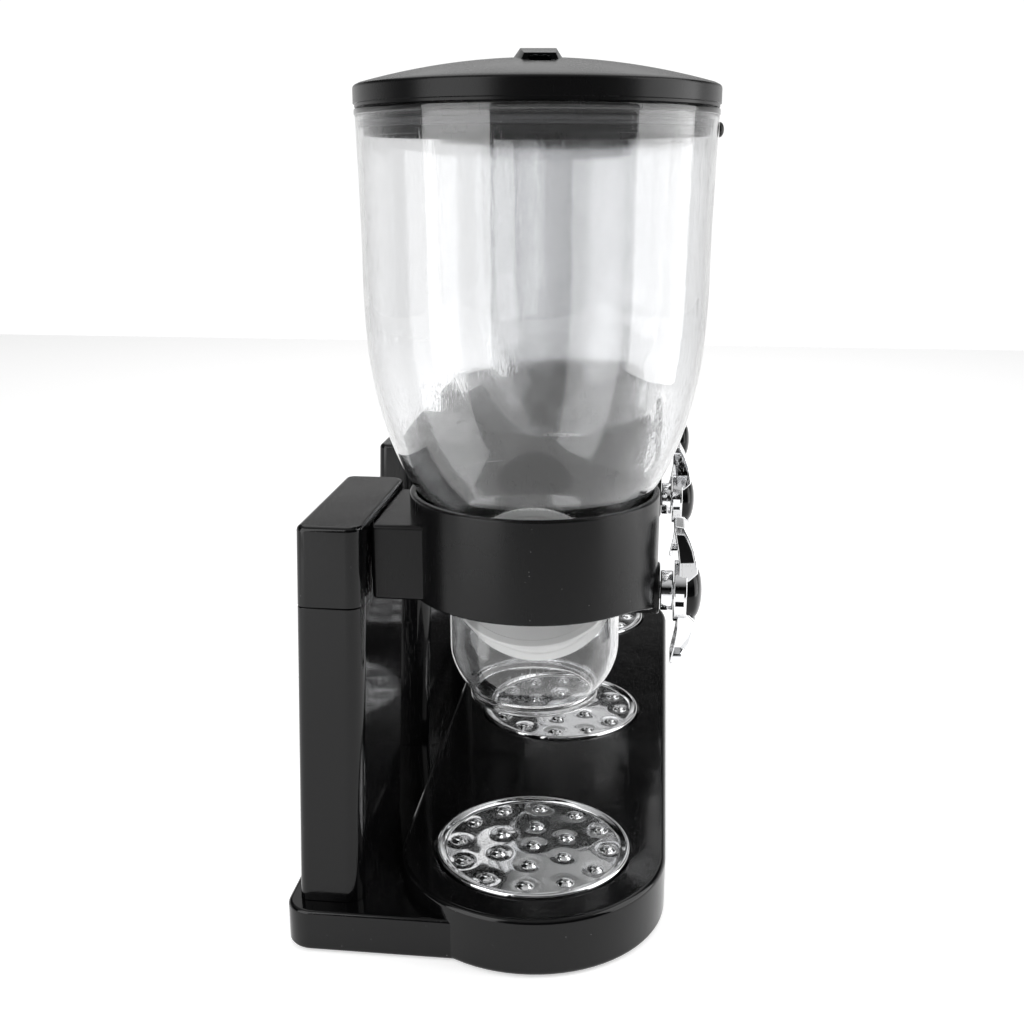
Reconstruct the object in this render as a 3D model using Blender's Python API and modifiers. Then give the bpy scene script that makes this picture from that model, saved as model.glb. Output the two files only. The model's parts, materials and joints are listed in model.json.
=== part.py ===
"""Countertop cereal dispenser with three clear canisters in a row.

Each station is a column with a ring bracket, a lift-out canister with a lid, a clear chute and
a paddle rotor that a chrome knob turns. Every piece is its own closed solid. Metres, +Z up; the
knobs face -Y, the stations stand along X, and the origin is under the middle of the object.
"""

import math

import bmesh
import bpy
from mathutils import Matrix, Vector

# Layout. Heights are above the table; station depths are from the canister's axis, front at -Y.
STATION_PITCH = 0.160
STATION_COUNT = 3
FRONT_REACH = 0.0752
BACK_REACH = 0.1065
AXIS_Y = (FRONT_REACH - BACK_REACH) / 2
GAP = 0.0003
ROUND = 20
SMALL_ROUND = 12

# Base.
STRIP_HALF_LENGTH = 0.2143
STRIP_TOP = 0.0205
STRIP_CORNER = 0.012
PLATFORM_RADIUS = 0.0625
PLATFORM_TOP = 0.0285
BASE_WALL = 0.0025
BASE_BOTTOM = 0.0010
COVER_BOTTOM = 0.0027
COVER_TOP = 0.0047
FOOT_RADIUS = 0.008
PLATE_RADIUS = 0.0457
PLATE_SEAT_DEPTH = 0.0025
PLATE_RIM_TOP = 0.0300
DOME_TOP = 0.0304
DOME_RADIUS = 0.0036
DOME_RINGS = ((0.0, 1), (0.0175, 6), (0.0353, 12))

# Column, which leans forward a little.
COLUMN_HALF_WIDTH = 0.0455
COLUMN_DEPTH = 0.0288
COLUMN_FOOT_FRONT = 0.0724
COLUMN_TOP = 0.1955
COLUMN_SEAM = 0.1600
COLUMN_LEAN = 0.033
COLUMN_WALL = 0.0024

# Ring bracket.
RING_RADIUS = 0.0545
RING_WALL = 0.0030
RING_TOP = 0.2035
RING_BOTTOM = 0.1590
WEB_TOP = 0.1715
WEB_THICKNESS = 0.0025
ARM_HALF_WIDTH = 0.0315
ARM_TOP = 0.1932
BOSS_RADIUS = 0.0115
BOSS_RISE = 0.0010
BOSS_FRONT = -0.0556

# Shaft, rotor and knob. Their axis runs along Y.
SHAFT_Z = 0.1585
SHAFT_RADIUS = 0.0040
SHAFT_BORE = 0.0046
BUSH_RADIUS = 0.0074
ROTOR_RADIUS = 0.0357
ROTOR_BLADES = 6
BLADE_THICKNESS = 0.0022
HUB_RADIUS = 0.0075
COLLAR_RADIUS = 0.0088
KNOB_BACK = -0.0617
KNOB_HALF_SPAN = 0.0315
KNOB_ROOT_HALF_WIDTH = 0.0100
KNOB_TIP_HALF_WIDTH = 0.0078
KNOB_WING_BACK = -0.0635
KNOB_TIP_BACK = -0.0608
KNOB_TIP_FRONT = -0.0652
KNOB_SHOULDER = -0.0717
KNOB_SEAT = -0.0667
CAP_RADIUS = 0.0122
CAP_CROWN = 0.0740

# Chute and canister.
CHUTE_RADIUS = 0.0380
CHUTE_WALL = 0.0014
CHUTE_FLANGE_RADIUS = 0.0470
CHUTE_TOP = 0.1735
OUTLET_RADIUS = 0.0290
OUTLET_BOTTOM = 0.1075
HOPPER_WALL = 0.0018
HOPPER_TOP = 0.3609
HOPPER_FOOT = 0.1738
NECK_TOP = 0.1885
HOPPER_LIP_RADIUS = 0.0736
SHOULDER_HEIGHT = 0.3000
SHOULDER_RADIUS = 0.0719
SHOULDER_FLARE = 0.0014
BELLY_DEPTH = 0.1271
BELLY_POWER = 2.525

# Lid.
LID_RADIUS = 0.0738
LID_RIM_BOTTOM = 0.3612
LID_RIM_TOP = 0.3690
LID_CROWN = 0.3803
LID_WALL = 0.0022
PLUG_RADIUS = 0.0700
PLUG_BOTTOM = 0.3505
SEAL_TOP = 0.3565
SEAL_BOTTOM = 0.3535
GRIP_TURN = 7.3
GRIP_HALF_LENGTH = 0.0380
GRIP_HALF_WIDTH = 0.0125
GRIP_END_HALF_WIDTH = 0.0074
GRIP_TOP_SHARE = 0.55
GRIP_TOP = 0.3838
GRIP_END_TOP = 0.3797
FINGER_HOLE_HALF_WIDTH = 0.0044
FINGER_HOLE_DEPTH = 0.0110
FINGER_HOLE_BOTTOM = 0.3763
FINGER_HOLE_TOP = 0.3789

MODEL = "cereal_dispenser"
CUTTERS = "cutters"


# ---------------------------------------------------------------- scene and materials

def clear_scene() -> None:
    for thing in list(bpy.data.objects):
        bpy.data.objects.remove(thing)


def collection(name: str) -> bpy.types.Collection:
    made = bpy.data.collections.get(name)
    if made is None:
        made = bpy.data.collections.new(name)
        bpy.context.scene.collection.children.link(made)
    return made


def material(name, colour, roughness, metallic=0.0, transmission=0.0):
    made = bpy.data.materials.new(name)
    made.use_nodes = True
    shader = made.node_tree.nodes["Principled BSDF"]
    shader.inputs["Base Color"].default_value = (*colour, 1.0)
    shader.inputs["Roughness"].default_value = roughness
    shader.inputs["Metallic"].default_value = metallic
    shader.inputs["Transmission Weight"].default_value = transmission
    return made


def make_materials():
    return {
        "black_plastic": material("black_plastic", (0.012, 0.012, 0.013), 0.22),
        "black_satin": material("black_satin", (0.014, 0.014, 0.015), 0.34),
        "clear_plastic": material("clear_plastic", (0.93, 0.95, 0.96), 0.04, transmission=1.0),
        "white_silicone": material("white_silicone", (0.86, 0.86, 0.84), 0.45),
        "chrome": material("chrome", (0.86, 0.87, 0.89), 0.06, metallic=1.0),
        "steel": material("steel", (0.55, 0.55, 0.56), 0.30, metallic=1.0),
        "rubber": material("rubber", (0.03, 0.03, 0.03), 0.80),
        "seal_silicone": material("seal_silicone", (0.05, 0.05, 0.052), 0.50),
        "white_plastic": material("white_plastic", (0.75, 0.75, 0.74), 0.40),
    }


# ---------------------------------------------------------------- solids

def work_object(mesh):
    """Puts a mesh on a construction object, which settle() turns into a finished mesh."""
    made = bpy.data.objects.new("work", mesh)
    collection(CUTTERS).objects.link(made)
    made.hide_render = True
    made.display_type = "WIRE"
    return made


def clean(mesh) -> None:
    """Welds a mesh's loose joins and turns its faces outwards."""
    solid = bmesh.new()
    solid.from_mesh(mesh)
    bmesh.ops.remove_doubles(solid, verts=solid.verts, dist=1e-6)
    bmesh.ops.recalc_face_normals(solid, faces=solid.faces)
    solid.to_mesh(mesh)
    solid.free()


def settle(work):
    """Returns the finished mesh of a construction object and removes the object."""
    bpy.context.view_layer.update()
    graph = bpy.context.evaluated_depsgraph_get()
    mesh = bpy.data.meshes.new_from_object(work.evaluated_get(graph))
    mesh.transform(work.matrix_world)
    clean(mesh)
    bpy.data.objects.remove(work)
    return mesh


def turned(profile, steps=ROUND):
    """A solid of revolution about Z.

    The profile runs down its outer side and back up its inner side. It closes on itself, or it
    starts and ends on the axis.
    """
    on_axis = profile[0][0] == 0.0 and profile[-1][0] == 0.0
    points = [(radius, 0.0, height) for radius, height in profile]
    edges = [(i, i + 1) for i in range(len(points) - 1)]
    if not on_axis:
        edges.append((len(points) - 1, 0))
    mesh = bpy.data.meshes.new("turned")
    mesh.from_pydata(points, edges, [])
    work = work_object(mesh)
    screw = work.modifiers.new("turn", "SCREW")
    screw.steps = steps
    screw.render_steps = steps
    screw.use_merge_vertices = True
    screw.merge_threshold = 0.00001
    return settle(work)


def prism(outline, low, high):
    """A flat outline in XY, extruded from one height to another."""
    curve = bpy.data.curves.new("outline", "CURVE")
    curve.dimensions = "2D"
    curve.fill_mode = "BOTH"
    curve.extrude = (high - low) / 2
    spline = curve.splines.new("POLY")
    spline.points.add(len(outline) - 1)
    for point, (x, y) in zip(spline.points, outline):
        point.co = (x, y, 0.0, 1.0)
    spline.use_cyclic_u = True
    work = work_object(curve)
    work.location.z = (low + high) / 2
    return settle(work)


def box(low, high):
    """A box between two corners."""
    solid = bmesh.new()
    size = Vector(high) - Vector(low)
    middle = (Vector(high) + Vector(low)) / 2
    bmesh.ops.create_cube(solid, size=1.0, matrix=Matrix.Translation(middle) @ Matrix.Diagonal((*size, 1.0)))
    mesh = bpy.data.meshes.new("box")
    solid.to_mesh(mesh)
    solid.free()
    return mesh


def cylinder(radius, low, high, steps=SMALL_ROUND):
    """A cylinder about Z."""
    solid = bmesh.new()
    middle = Matrix.Translation((0.0, 0.0, (low + high) / 2))
    bmesh.ops.create_cone(
        solid, cap_ends=True, segments=steps, radius1=radius, radius2=radius,
        depth=high - low, matrix=middle,
    )
    mesh = bpy.data.meshes.new("cylinder")
    solid.to_mesh(mesh)
    solid.free()
    return mesh


def moved(mesh, offset=(0.0, 0.0, 0.0), matrix=None):
    """Turns a mesh by a matrix and then shifts it."""
    if matrix is not None:
        mesh.transform(matrix)
    mesh.transform(Matrix.Translation(offset))
    return mesh


def along_y(mesh, offset=(0.0, 0.0, 0.0)):
    """Lays a solid made about Z along Y, with its top towards -Y, the front."""
    return moved(mesh, offset, Matrix.Rotation(math.radians(90), 4, "X"))


def combined(mesh, others, operation):
    """Joins solids to a mesh, or cuts them from it, one after another."""
    work = work_object(mesh)
    tools = [work_object(other) for other in others]
    for number, tool in enumerate(tools):
        step = work.modifiers.new(f"step_{number}", "BOOLEAN")
        step.operation = operation
        step.solver = "EXACT"
        step.object = tool
    finished = settle(work)
    for tool in tools:
        bpy.data.objects.remove(tool)
    return finished


def union(mesh, *others):
    return combined(mesh, others, "UNION")


def cut(mesh, *others):
    return combined(mesh, others, "DIFFERENCE")


def bevelled(mesh, width, segments=2, angle=35):
    """Rounds the edges that are sharper than an angle in degrees."""
    work = work_object(mesh)
    bevel = work.modifiers.new("round", "BEVEL")
    bevel.width = width
    bevel.segments = segments
    bevel.limit_method = "ANGLE"
    bevel.angle_limit = math.radians(angle)
    bevel.use_clamp_overlap = True
    return settle(work)


def place(name, mesh, finish, location=(0.0, 0.0, 0.0), parent=None):
    """Makes the finished, named object of one piece."""
    clean_mesh = mesh.copy()
    clean_mesh.name = name
    clean_mesh.materials.clear()
    clean_mesh.materials.append(finish)
    made = bpy.data.objects.new(name, clean_mesh)
    collection(MODEL).objects.link(made)
    made.location = location
    made.parent = parent
    clean_mesh.shade_smooth()
    clean_mesh.set_sharp_from_angle(angle=math.radians(32))
    return made


def joint_empty(name, location):
    """An empty on a moving piece's axis, at rest."""
    made = bpy.data.objects.new(name, None)
    made.empty_display_size = 0.01
    collection(MODEL).objects.link(made)
    made.location = location
    return made


# ---------------------------------------------------------------- outlines

def arc(centre, radius, start, end, steps):
    """Points on an arc, angles in degrees."""
    angles = [math.radians(start + (end - start) * i / steps) for i in range(steps + 1)]
    return [(centre[0] + radius * math.cos(a), centre[1] + radius * math.sin(a)) for a in angles]


def arc_through(half_length, end_height, middle_height, steps):
    """A shallow arc from +X to -X that is end_height high at its ends and middle_height between."""
    rise = middle_height - end_height
    radius = (half_length ** 2 + rise ** 2) / (2 * rise)
    spread = math.degrees(math.asin(half_length / radius))
    return arc((0.0, middle_height - radius), radius, 90 - spread, 90 + spread, steps)


def stadium(half_length, radius, steps=12):
    """A straight-sided outline with round ends along X; half_length is to the end centres."""
    right = arc((half_length, 0.0), radius, -90, 90, steps)
    left = arc((-half_length, 0.0), radius, 90, 270, steps)
    return right + left


def rounded_rectangle(x_low, x_high, y_low, y_high, front_corner, back_corner, steps=3):
    """A rectangle whose front (low Y) and back corners have their own radii."""
    points = []
    points += arc((x_high - front_corner, y_low + front_corner), front_corner, -90, 0, steps)
    points += arc((x_high - back_corner, y_high - back_corner), back_corner, 0, 90, steps)
    points += arc((x_low + back_corner, y_high - back_corner), back_corner, 90, 180, steps)
    points += arc((x_low + front_corner, y_low + front_corner), front_corner, 180, 270, steps)
    return points


# ---------------------------------------------------------------- base

def station_x(index):
    return (index - (STATION_COUNT - 1) / 2) * STATION_PITCH


def base_body(inset, strip_top, platform_top, bottom):
    """The strip under the columns joined to the round-ended platform, drawn in by inset."""
    half_row = STATION_PITCH * (STATION_COUNT - 1) / 2
    strip = prism(
        rounded_rectangle(
            -STRIP_HALF_LENGTH + inset, STRIP_HALF_LENGTH - inset,
            inset, BACK_REACH - inset, 0.004, STRIP_CORNER - inset,
        ),
        bottom, strip_top,
    )
    platform = prism(stadium(half_row, PLATFORM_RADIUS - inset), bottom, platform_top)
    return strip, platform


def base_shell():
    """The moulded base, open underneath, with a seat for each plate and a hole for each screw."""
    strip, platform = base_body(0.0, STRIP_TOP, PLATFORM_TOP, BASE_BOTTOM)
    outer = union(bevelled(strip, 0.0015, 1), bevelled(platform, 0.0022))
    hollow_bottom = BASE_BOTTOM - 0.005
    seat_floor = PLATFORM_TOP - PLATE_SEAT_DEPTH
    hollow_strip, hollow_platform = base_body(
        BASE_WALL, STRIP_TOP - BASE_WALL, seat_floor - BASE_WALL, hollow_bottom
    )
    cutters = [hollow_strip, hollow_platform]
    for index in range(STATION_COUNT):
        x = station_x(index)
        seat = cylinder(PLATE_RADIUS + 0.0005, seat_floor, PLATFORM_TOP + 0.01, ROUND)
        screw_hole = cylinder(0.0022, 0.0, STRIP_TOP + 0.01, 8)
        cutters.append(moved(seat, (x, 0.0, 0.0)))
        cutters.append(moved(screw_hole, (x, column_middle(STRIP_TOP), 0.0)))
    return cut(outer, *cutters)


def base_cover():
    """The flat cover that closes the base from below."""
    inset = BASE_WALL + GAP
    strip, platform = base_body(inset, COVER_TOP, COVER_TOP, COVER_BOTTOM)
    return union(strip, platform)


def drip_plate():
    """A shallow pressed plate with a raised rim and domes on two rings round a middle one."""
    floor = PLATFORM_TOP - PLATE_SEAT_DEPTH + GAP
    skin = 0.0008
    field = 0.0287
    rim = PLATE_RADIUS
    profile = [
        (0.0, field),
        (rim - 0.0045, field),
        (rim - 0.0026, PLATE_RIM_TOP),
        (rim, PLATE_RIM_TOP - 0.0008),
        (rim, floor),
        (rim - skin, floor),
        (rim - skin, field - skin),
        (0.0, field - skin),
    ]
    domes = []
    for radius, count in DOME_RINGS:
        for number in range(count):
            turn = math.tau * number / count
            centre = (radius * math.cos(turn), radius * math.sin(turn), 0.0)
            dome = turned([(0.0, DOME_TOP), (DOME_RADIUS, field - skin / 2), (0.0, field - skin / 2)], 6)
            domes.append(moved(dome, centre))
    return union(turned(profile), *domes)


def foot():
    return turned([
        (0.0, COVER_BOTTOM - GAP),
        (FOOT_RADIUS, COVER_BOTTOM - GAP),
        (FOOT_RADIUS, 0.0008),
        (FOOT_RADIUS - 0.0008, 0.0),
        (0.0, 0.0),
    ], SMALL_ROUND)


# ---------------------------------------------------------------- column and bracket

def lean_shift(height):
    """How far the column has moved forward at a height."""
    return -COLUMN_LEAN * (height - STRIP_TOP)


def column_middle(height):
    return COLUMN_FOOT_FRONT + COLUMN_DEPTH / 2 + lean_shift(height)


def leaned(mesh):
    """Shears a solid forward with height, as the column leans."""
    shear = Matrix.Identity(4)
    shear[1][2] = -COLUMN_LEAN
    shear[1][3] = COLUMN_LEAN * STRIP_TOP
    mesh.transform(shear)
    return mesh


def column_block(inset, low, high, front_corner, back_corner):
    return prism(
        rounded_rectangle(
            -COLUMN_HALF_WIDTH + inset, COLUMN_HALF_WIDTH - inset,
            COLUMN_FOOT_FRONT + inset, COLUMN_FOOT_FRONT + COLUMN_DEPTH - inset,
            front_corner - inset, back_corner - inset,
        ),
        low, high,
    )


def column_post():
    """The post: a cup, open at the top, screwed to the base through its floor."""
    low = STRIP_TOP + GAP
    high = COLUMN_SEAM - GAP / 2
    outer = bevelled(column_block(0.0, low, high, 0.0075, 0.0045), 0.0004, 1, 60)
    hollow = column_block(COLUMN_WALL, low + 0.004, high + 0.01, 0.0075, 0.0045)
    screw_hole = moved(cylinder(0.0022, 0.0, 0.05, 8), (0.0, column_middle(STRIP_TOP), 0.0))
    return cut(leaned(outer), leaned(hollow), screw_hole)


def column_cap():
    """The cap: an upturned cup over the post, level with the ring."""
    low = COLUMN_SEAM + GAP / 2
    outer = bevelled(column_block(0.0, low, COLUMN_TOP, 0.0075, 0.0045), 0.0012, 1, 60)
    hollow = column_block(COLUMN_WALL, low - 0.01, COLUMN_TOP - COLUMN_WALL, 0.0075, 0.0045)
    return cut(leaned(outer), leaned(hollow))


def column_screw():
    """Self-tapping screw with a pan head, from inside the base up into the post."""
    head_top = STRIP_TOP - BASE_WALL - GAP
    return turned([
        (0.0, STRIP_TOP + 0.0075),
        (0.0006, STRIP_TOP + 0.0075),
        (0.0019, STRIP_TOP + 0.0055),
        (0.0019, head_top),
        (0.0038, head_top),
        (0.0034, head_top - 0.0022),
        (0.0, head_top - 0.0022),
    ], 8)


def ring_bracket():
    """The ring that carries the canister and chute, its arm to the column and the shaft boss."""
    inner = RING_RADIUS - RING_WALL
    web_bottom = WEB_TOP - WEB_THICKNESS
    ring = turned([
        (RING_RADIUS - 0.0008, RING_TOP),
        (RING_RADIUS, RING_TOP - 0.0010),
        (RING_RADIUS, RING_BOTTOM + 0.0010),
        (RING_RADIUS - 0.0010, RING_BOTTOM),
        (inner, RING_BOTTOM),
        (inner, web_bottom),
        (CHUTE_RADIUS + GAP, web_bottom),
        (CHUTE_RADIUS + GAP, WEB_TOP),
        (inner, WEB_TOP),
        (inner, RING_TOP - 0.0010),
        (inner + 0.0008, RING_TOP),
    ])
    arm_front = 0.040
    cap_front = COLUMN_FOOT_FRONT + lean_shift(ARM_TOP)
    arm_bottom = RING_BOTTOM + 0.0010
    arm = box((-ARM_HALF_WIDTH, arm_front, arm_bottom), (ARM_HALF_WIDTH, cap_front - GAP, ARM_TOP))
    arm = cut(bevelled(arm, 0.0015, 1), cylinder(inner + 0.0015, 0.0, 1.0, ROUND))
    boss_back = -(CHUTE_RADIUS + GAP)
    boss = along_y(cylinder(BOSS_RADIUS, -boss_back, -BOSS_FRONT, 16), (0.0, 0.0, SHAFT_Z + BOSS_RISE))
    body = union(ring, arm, bevelled(boss, 0.0008, 1))
    bush_bore = along_y(cylinder(BUSH_RADIUS + GAP, 0.030, 0.060), (0.0, 0.0, SHAFT_Z))
    return cut(body, bush_bore)


# ---------------------------------------------------------------- canister, chute and lid

def hopper_radius(height):
    """Outer radius of the canister: a slight flare above its shoulder, a rounded belly below."""
    if height >= SHOULDER_HEIGHT:
        rise = (height - SHOULDER_HEIGHT) / (HOPPER_TOP - SHOULDER_HEIGHT)
        return SHOULDER_RADIUS + SHOULDER_FLARE * rise ** 1.6
    drop = (SHOULDER_HEIGHT - height) / BELLY_DEPTH
    return SHOULDER_RADIUS * math.sqrt(1.0 - drop ** BELLY_POWER)


def hopper():
    """The clear canister, a bell that narrows to a neck over the rotor."""
    heights = [0.3575, 0.295, 0.265, 0.243, 0.225, 0.209, 0.195]
    neck = CHUTE_RADIUS + 0.0004
    outer = [(HOPPER_LIP_RADIUS, HOPPER_TOP), (HOPPER_LIP_RADIUS, 0.3585)]
    outer += [(hopper_radius(h), h) for h in heights]
    outer += [(neck, NECK_TOP), (neck, HOPPER_FOOT)]
    inner = [(neck - HOPPER_WALL, HOPPER_FOOT), (neck - HOPPER_WALL, NECK_TOP + 0.0005)]
    inner += [(hopper_radius(h) - HOPPER_WALL, h + 0.0008) for h in reversed(heights)]
    inner += [(HOPPER_LIP_RADIUS - HOPPER_WALL, HOPPER_TOP)]
    return turned(outer + inner)


def chute():
    """The clear bowl round the rotor's lower half, with a flange on the ring's web."""
    bowl_steps = 3
    straight = 0.1330
    outlet_top = OUTLET_BOTTOM + 0.0040
    outer = [
        (CHUTE_FLANGE_RADIUS, CHUTE_TOP),
        (CHUTE_FLANGE_RADIUS, WEB_TOP + GAP),
        (CHUTE_RADIUS, WEB_TOP + GAP),
    ]
    inner = []
    drop = straight - outlet_top
    for step in range(bowl_steps + 1):
        share = step / bowl_steps
        height = straight - drop * share
        radius = OUTLET_RADIUS - 0.0008 + (CHUTE_RADIUS - OUTLET_RADIUS + 0.0008) * math.cos(share * math.pi / 2) ** 0.75
        outer.append((radius, height))
        inner.append((radius - CHUTE_WALL, height))
    outer += [(OUTLET_RADIUS, outlet_top - 0.0006), (OUTLET_RADIUS, OUTLET_BOTTOM)]
    inner[-1] = (OUTLET_RADIUS - 0.0028, outlet_top)
    inner += [(OUTLET_RADIUS - 0.0028, OUTLET_BOTTOM)]
    inner.insert(0, (CHUTE_RADIUS - CHUTE_WALL, CHUTE_TOP))
    body = turned(outer + list(reversed(inner)))
    front_hole = along_y(cylinder(SHAFT_BORE + 0.0004, 0.030, 0.045, 12), (0.0, 0.0, SHAFT_Z))
    rear_hole = along_y(cylinder(0.0067, -0.045, -0.030, 12), (0.0, 0.0, SHAFT_Z))
    return cut(body, front_hole, rear_hole)


def lid():
    """The lid: a shallow dome with a rim band, a plug with a seal groove and a low grip."""
    dome_steps = 3
    edge = LID_RADIUS - 0.0014
    edge_height = LID_RIM_TOP + 0.0012

    def dome_height(radius):
        return edge_height + (LID_CROWN - edge_height) * (1.0 - (radius / edge) ** 2)

    radii = [edge * step / dome_steps for step in range(dome_steps + 1)]
    inside = PLUG_RADIUS - LID_WALL
    profile = [(radius, dome_height(radius)) for radius in radii]
    profile += [
        (LID_RADIUS, LID_RIM_TOP),
        (LID_RADIUS, LID_RIM_BOTTOM),
        (PLUG_RADIUS, LID_RIM_BOTTOM),
        (PLUG_RADIUS, PLUG_BOTTOM),
        (inside, PLUG_BOTTOM),
        (inside, dome_height(inside) - LID_WALL),
        (0.0, LID_CROWN - LID_WALL),
    ]
    hollow_top = dome_height(GRIP_HALF_LENGTH) - LID_WALL / 2
    cover = union(turned(profile), lid_grip(hollow_top))
    return cut(cover, finger_hole(-1), finger_hole(1))


def lid_grip(foot_height):
    """A low ridge across the lid, widest in the middle, with sloping sides and a hole in each end."""
    side = arc_through(GRIP_HALF_LENGTH, GRIP_END_HALF_WIDTH, GRIP_HALF_WIDTH, 6)
    outline = side + [(-x, -y) for x, y in side]
    block = prism(list(reversed(outline)), foot_height, GRIP_TOP)
    for point in block.vertices:
        if point.co.z > GRIP_TOP - GAP:
            point.co.y *= GRIP_TOP_SHARE
    crown_radius = GRIP_HALF_LENGTH ** 2 / (2 * (GRIP_TOP - GRIP_END_TOP))
    crown = along_y(cylinder(crown_radius, -0.02, 0.02, 96), (0.0, 0.0, GRIP_TOP - crown_radius))
    block = bevelled(combined(block, [crown], "INTERSECT"), 0.0006, 1, 40)
    return moved(block, matrix=Matrix.Rotation(math.radians(GRIP_TURN), 4, "Z"))


def finger_hole(end):
    """The space of the hole at one end of the grip; end is -1 or 1."""
    inner = end * (GRIP_HALF_LENGTH - FINGER_HOLE_DEPTH)
    outer = end * (GRIP_HALF_LENGTH + 0.002)
    hole = box(
        (min(inner, outer), -FINGER_HOLE_HALF_WIDTH, FINGER_HOLE_BOTTOM),
        (max(inner, outer), FINGER_HOLE_HALF_WIDTH, FINGER_HOLE_TOP),
    )
    return moved(hole, matrix=Matrix.Rotation(math.radians(GRIP_TURN), 4, "Z"))


def lid_seal():
    return turned([
        (PLUG_RADIUS + 0.0012, SEAL_TOP - 0.0008),
        (PLUG_RADIUS + 0.0012, SEAL_BOTTOM + 0.0008),
        (PLUG_RADIUS + GAP, SEAL_BOTTOM),
        (PLUG_RADIUS + GAP, SEAL_TOP),
    ])


def front_stud():
    """A small button on the front of the canister, just below its rim."""
    height = 0.3530
    back = hopper_radius(height) + GAP
    stud = turned([(0.0, 0.0018), (0.0014, 0.0017), (0.0026, 0.0010), (0.0030, 0.0), (0.0, 0.0)], 8)
    return along_y(stud, (0.0, -back, height))


# ---------------------------------------------------------------- rotor, shaft and knob
# These are drawn about the shaft's axis, so their height is measured from it.

def rotor():
    """Soft paddle wheel: half-round blades on a hub that slides on the shaft."""
    hub_half = ROTOR_RADIUS - 0.0010
    hub = along_y(cylinder(HUB_RADIUS, -hub_half, hub_half, 12))
    blade_outline = [(HUB_RADIUS - 0.002, y) for y in (ROTOR_RADIUS - 0.004, -(ROTOR_RADIUS - 0.004))]
    steps = 8
    first = math.degrees(math.asin((ROTOR_RADIUS - 0.0015) / ROTOR_RADIUS))
    blade_outline += arc((0.0, 0.0), ROTOR_RADIUS, -first, first, steps)
    blades = []
    for number in range(ROTOR_BLADES):
        blade = prism(blade_outline, -BLADE_THICKNESS / 2, BLADE_THICKNESS / 2)
        turn = math.tau * number / ROTOR_BLADES + math.radians(90)
        blades.append(moved(blade, matrix=Matrix.Rotation(turn, 4, "Y")))
    bore = along_y(cylinder(SHAFT_RADIUS + GAP, -0.05, 0.05, 6))
    return cut(union(hub, *blades), bore)


def rotor_shaft():
    """Hexagonal drive shaft from the rear bush to the knob."""
    return along_y(cylinder(SHAFT_RADIUS, -0.0405, 0.0659, 6))


def front_bush():
    back = CHUTE_RADIUS + 2 * GAP
    return along_y(turned([
        (BUSH_RADIUS, -BOSS_FRONT - GAP),
        (BUSH_RADIUS, back),
        (SHAFT_BORE, back),
        (SHAFT_BORE, -BOSS_FRONT - GAP),
    ], SMALL_ROUND))


def rear_bush():
    wall = CHUTE_RADIUS + GAP
    return along_y(turned([
        (0.0062, -(ROTOR_RADIUS + GAP)),
        (0.0062, -wall),
        (0.0080, -wall),
        (0.0080, -wall - 0.0020),
        (SHAFT_BORE, -wall - 0.0020),
        (SHAFT_BORE, -(ROTOR_RADIUS + GAP)),
    ], SMALL_ROUND))


def knob_collar():
    """Chrome neck that turns with the knob."""
    return along_y(turned([
        (COLLAR_RADIUS, -KNOB_BACK - GAP),
        (COLLAR_RADIUS, -BOSS_FRONT + GAP),
        (SHAFT_BORE, -BOSS_FRONT + GAP),
        (SHAFT_BORE, -KNOB_BACK - GAP),
    ], 16))


def knob():
    """Two-winged handle whose shoulders slope down to the cap and whose wings thin out to their tips."""
    tip = KNOB_HALF_SPAN
    upper = [
        (KNOB_WING_BACK, 0.0),
        (KNOB_WING_BACK, tip * 0.48),
        (KNOB_WING_BACK + 0.0007, tip * 0.66),
        (KNOB_TIP_BACK, tip - 0.0008),
        (KNOB_TIP_BACK - 0.0008, tip),
        (KNOB_TIP_FRONT, tip - 0.0005),
        (KNOB_TIP_FRONT - 0.0026, tip * 0.83),
        (KNOB_SHOULDER + 0.0018, tip * 0.66),
        (KNOB_SHOULDER + 0.0005, tip * 0.48),
        (KNOB_SHOULDER, tip * 0.35),
        (KNOB_SEAT, tip * 0.19),
        (KNOB_SEAT, 0.0),
    ]
    side = [(-y, z) for y, z in upper] + [(-y, -z) for y, z in reversed(upper[1:-1])]
    wedge = prism(side, -KNOB_ROOT_HALF_WIDTH, KNOB_ROOT_HALF_WIDTH)
    stand_up = Matrix(((0, 0, 1, 0), (-1, 0, 0, 0), (0, 1, 0, 0), (0, 0, 0, 1)))
    wings = moved(wedge, matrix=stand_up)
    for point in wings.vertices:
        share = max(0.0, (abs(point.co.z) - COLLAR_RADIUS) / (tip - COLLAR_RADIUS))
        narrow = KNOB_ROOT_HALF_WIDTH + (KNOB_TIP_HALF_WIDTH - KNOB_ROOT_HALF_WIDTH) * share
        point.co.x *= narrow / KNOB_ROOT_HALF_WIDTH
    wings = bevelled(wings, 0.0007, 1, 34)
    seat_radius = CAP_RADIUS + GAP
    cap_seat = along_y(cylinder(seat_radius, -KNOB_SEAT, 0.10, 16))
    hub = along_y(cylinder(seat_radius + 0.0010, -KNOB_BACK, -KNOB_SEAT + 0.0006, 16))
    socket = along_y(cylinder(SHAFT_RADIUS + GAP, 0.050, 0.0662, 6))
    return cut(union(wings, hub), cap_seat, socket)


def knob_cap():
    """Black domed button in the middle of the knob."""
    seat = -KNOB_SEAT + GAP
    return along_y(turned([
        (0.0, CAP_CROWN),
        (CAP_RADIUS * 0.50, CAP_CROWN - 0.0007),
        (CAP_RADIUS * 0.85, CAP_CROWN - 0.0028),
        (CAP_RADIUS, seat + 0.0018),
        (CAP_RADIUS, seat),
        (0.0, seat),
    ], 16))


# ---------------------------------------------------------------- assembly

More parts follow.
